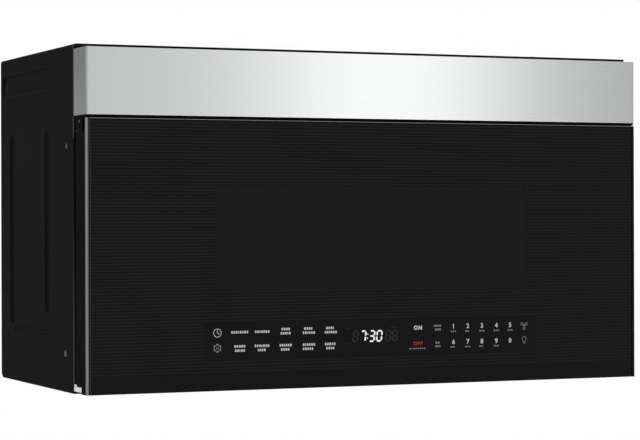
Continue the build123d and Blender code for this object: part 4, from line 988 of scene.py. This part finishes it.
def all_screws():
    """The casing's screws and the four of the hinge brackets."""
    case_side, bracket_back = 379.0, -135.8
    casing = [((side * case_side, y, z), (side, 0, 0), radius, 0.5)
              for side in (-1, 1) for y, z, radius in ((-110.5, 302.0, 3.2), (-104.0, 47.4, 4.0))]
    casing.append(((260.0, -126.0, 424.0), (0, 0, 1), 8.0, 3.0))
    screws("casing_screw_heads", casing, finishes["black_screws"], "case_screws")
    hinge = [((x, bracket_back, z), (0, 1, 0), 4.2, 2.4) for x in (-365.0, -346.0) for z in (30.0, 342.0)]
    screws("hinge_screw_heads", hinge, finishes["zinc_plate"], "hinge_screws")


outer_glass()
window_glass()
glass_ribs()
touch_legends()
clock_digits()
window_screen()
grease_filters()
lens_prisms()
gap_felt()
hinge_ear()
hinge_cheek()
all_screws()


# ---------------------------------------------------------------- stage
def studio_floor():
    """A plain pale floor well below the hung oven. It keeps the oven's soft shadow and fades out to its rim."""
    radius, height = 2.3, -0.42
    fade_start, fade_end, glow_share = 0.9, 2.2, 0.6
    bm = bmesh.new()
    bmesh.ops.create_circle(bm, cap_ends=True, segments=64, radius=radius)
    bmesh.ops.translate(bm, verts=bm.verts, vec=(0, 0, height))
    material = bpy.data.materials.new("studio_floor")
    material.use_nodes = True
    material.node_tree.nodes.clear()
    step = stepper(material.node_tree)
    reach = step("ShaderNodeVectorMath", "LENGTH", _0=step("ShaderNodeTexCoord").outputs["Object"])
    fade = step("ShaderNodeMapRange", From_Min=fade_start, From_Max=fade_end, Value=reach.outputs["Value"])
    below = step("ShaderNodeNewGeometry").outputs["Backfacing"]
    unseen = step("ShaderNodeMath", "MAXIMUM", _0=fade.outputs["Result"], _1=below)
    paper = step("ShaderNodeBsdfDiffuse", Color=(0.86, 0.86, 0.86, 1.0))
    glow = step("ShaderNodeEmission", Color=(1.0, 1.0, 1.0, 1.0))
    share = step("ShaderNodeMath", "MULTIPLY", _0=seen_rays(step), _1=glow_share)
    mix = step("ShaderNodeMixShader", _0=share.outputs[0], _1=paper.outputs[0], _2=glow.outputs[0])
    faded = step("ShaderNodeMixShader", _0=unseen.outputs[0], _1=mix.outputs[0],
                 _2=step("ShaderNodeBsdfTransparent").outputs[0])
    step("ShaderNodeOutputMaterial", Surface=faded.outputs[0])
    floor = made("studio_floor", bm, material)
    if floor.data.polygons[0].normal.z < 0:
        floor.data.flip_normals()


def seen_rays(step):
    """1 for rays that show the background: camera, glossy and transmission rays."""
    rays = step("ShaderNodeLightPath").outputs
    either = rays["Is Camera Ray"]
    for kind in ("Is Glossy Ray", "Is Transmission Ray"):
        either = step("ShaderNodeMath", "MAXIMUM", _0=either, _1=rays[kind]).outputs[0]
    return either


def studio_world():
    """Even pale surroundings: white where they are seen, softer where they only light."""
    world = bpy.data.worlds.new("studio")
    scene.world = world
    world.use_nodes = True
    world.node_tree.nodes.clear()
    step = stepper(world.node_tree)
    light = step("ShaderNodeBackground", Color=(0.55, 0.55, 0.55, 1.0))
    white = step("ShaderNodeBackground", Color=(1.0, 1.0, 1.0, 1.0))
    mix = step("ShaderNodeMixShader", _0=seen_rays(step), _1=light.outputs[0], _2=white.outputs[0])
    step("ShaderNodeOutputWorld", Surface=mix.outputs[0])


def soft_lamp(name, place, target, size, watts, only=None):
    """A soft lamp that points at a target, and lights one group alone if that is given."""
    lamp = bpy.data.lights.new(name, "AREA")
    lamp.shape = "RECTANGLE"
    lamp.size, lamp.size_y = size
    lamp.energy = watts
    holder = placed(name, lamp)
    holder.location = place
    holder.rotation_euler = (Vector(target) - Vector(place)).to_track_quat("-Z", "Y").to_euler()
    if only:
        holder.light_linking.receiver_collection = only


def photo_camera():
    """The camera at the photograph's place, worked out from the oven's corners."""
    place, lens = (-1.1887, -2.7621, 0.2110), 126.4
    yaw, pitch, roll = radians(23.409), radians(-0.01), radians(-0.162)
    forward = Vector((sin(yaw) * cos(pitch), cos(yaw) * cos(pitch), sin(pitch)))
    level = Vector((cos(yaw), -sin(yaw), 0.0))
    upward = level.cross(forward)
    right = level * cos(roll) + upward * sin(roll)
    top = upward * cos(roll) - level * sin(roll)
    camera = placed("photo_camera", bpy.data.cameras.new("photo_camera"))
    camera.data.lens = lens
    camera.data.sensor_width = 36.0
    camera.data.clip_end = 60.0
    turn = Matrix((right, top, -forward)).transposed().to_4x4()
    camera.matrix_world = Matrix.Translation(place) @ turn
    scene.camera = camera


studio_floor()
studio_world()
band_alone = bpy.data.collections.new("band_alone")
band_alone.objects.link(frame["nodes"]["top_vent_band"])
soft_lamp("band_lamp", place=(1.02, -2.35, 0.52), target=(0.02, -0.19, 0.38), size=(0.48, 0.9), watts=4.55,
          only=band_alone)
soft_lamp("band_side_lamp", place=(0.24, -2.35, 0.52), target=(-0.41, -0.19, 0.38), size=(0.6, 0.9), watts=1.05,
          only=band_alone)
soft_lamp("top_lamp", place=(0.0, -0.6, 2.4), target=(0.0, 0.0, 0.2), size=(2.0, 2.0), watts=16.0)
photo_camera()
scene.view_settings.view_transform = "Standard"
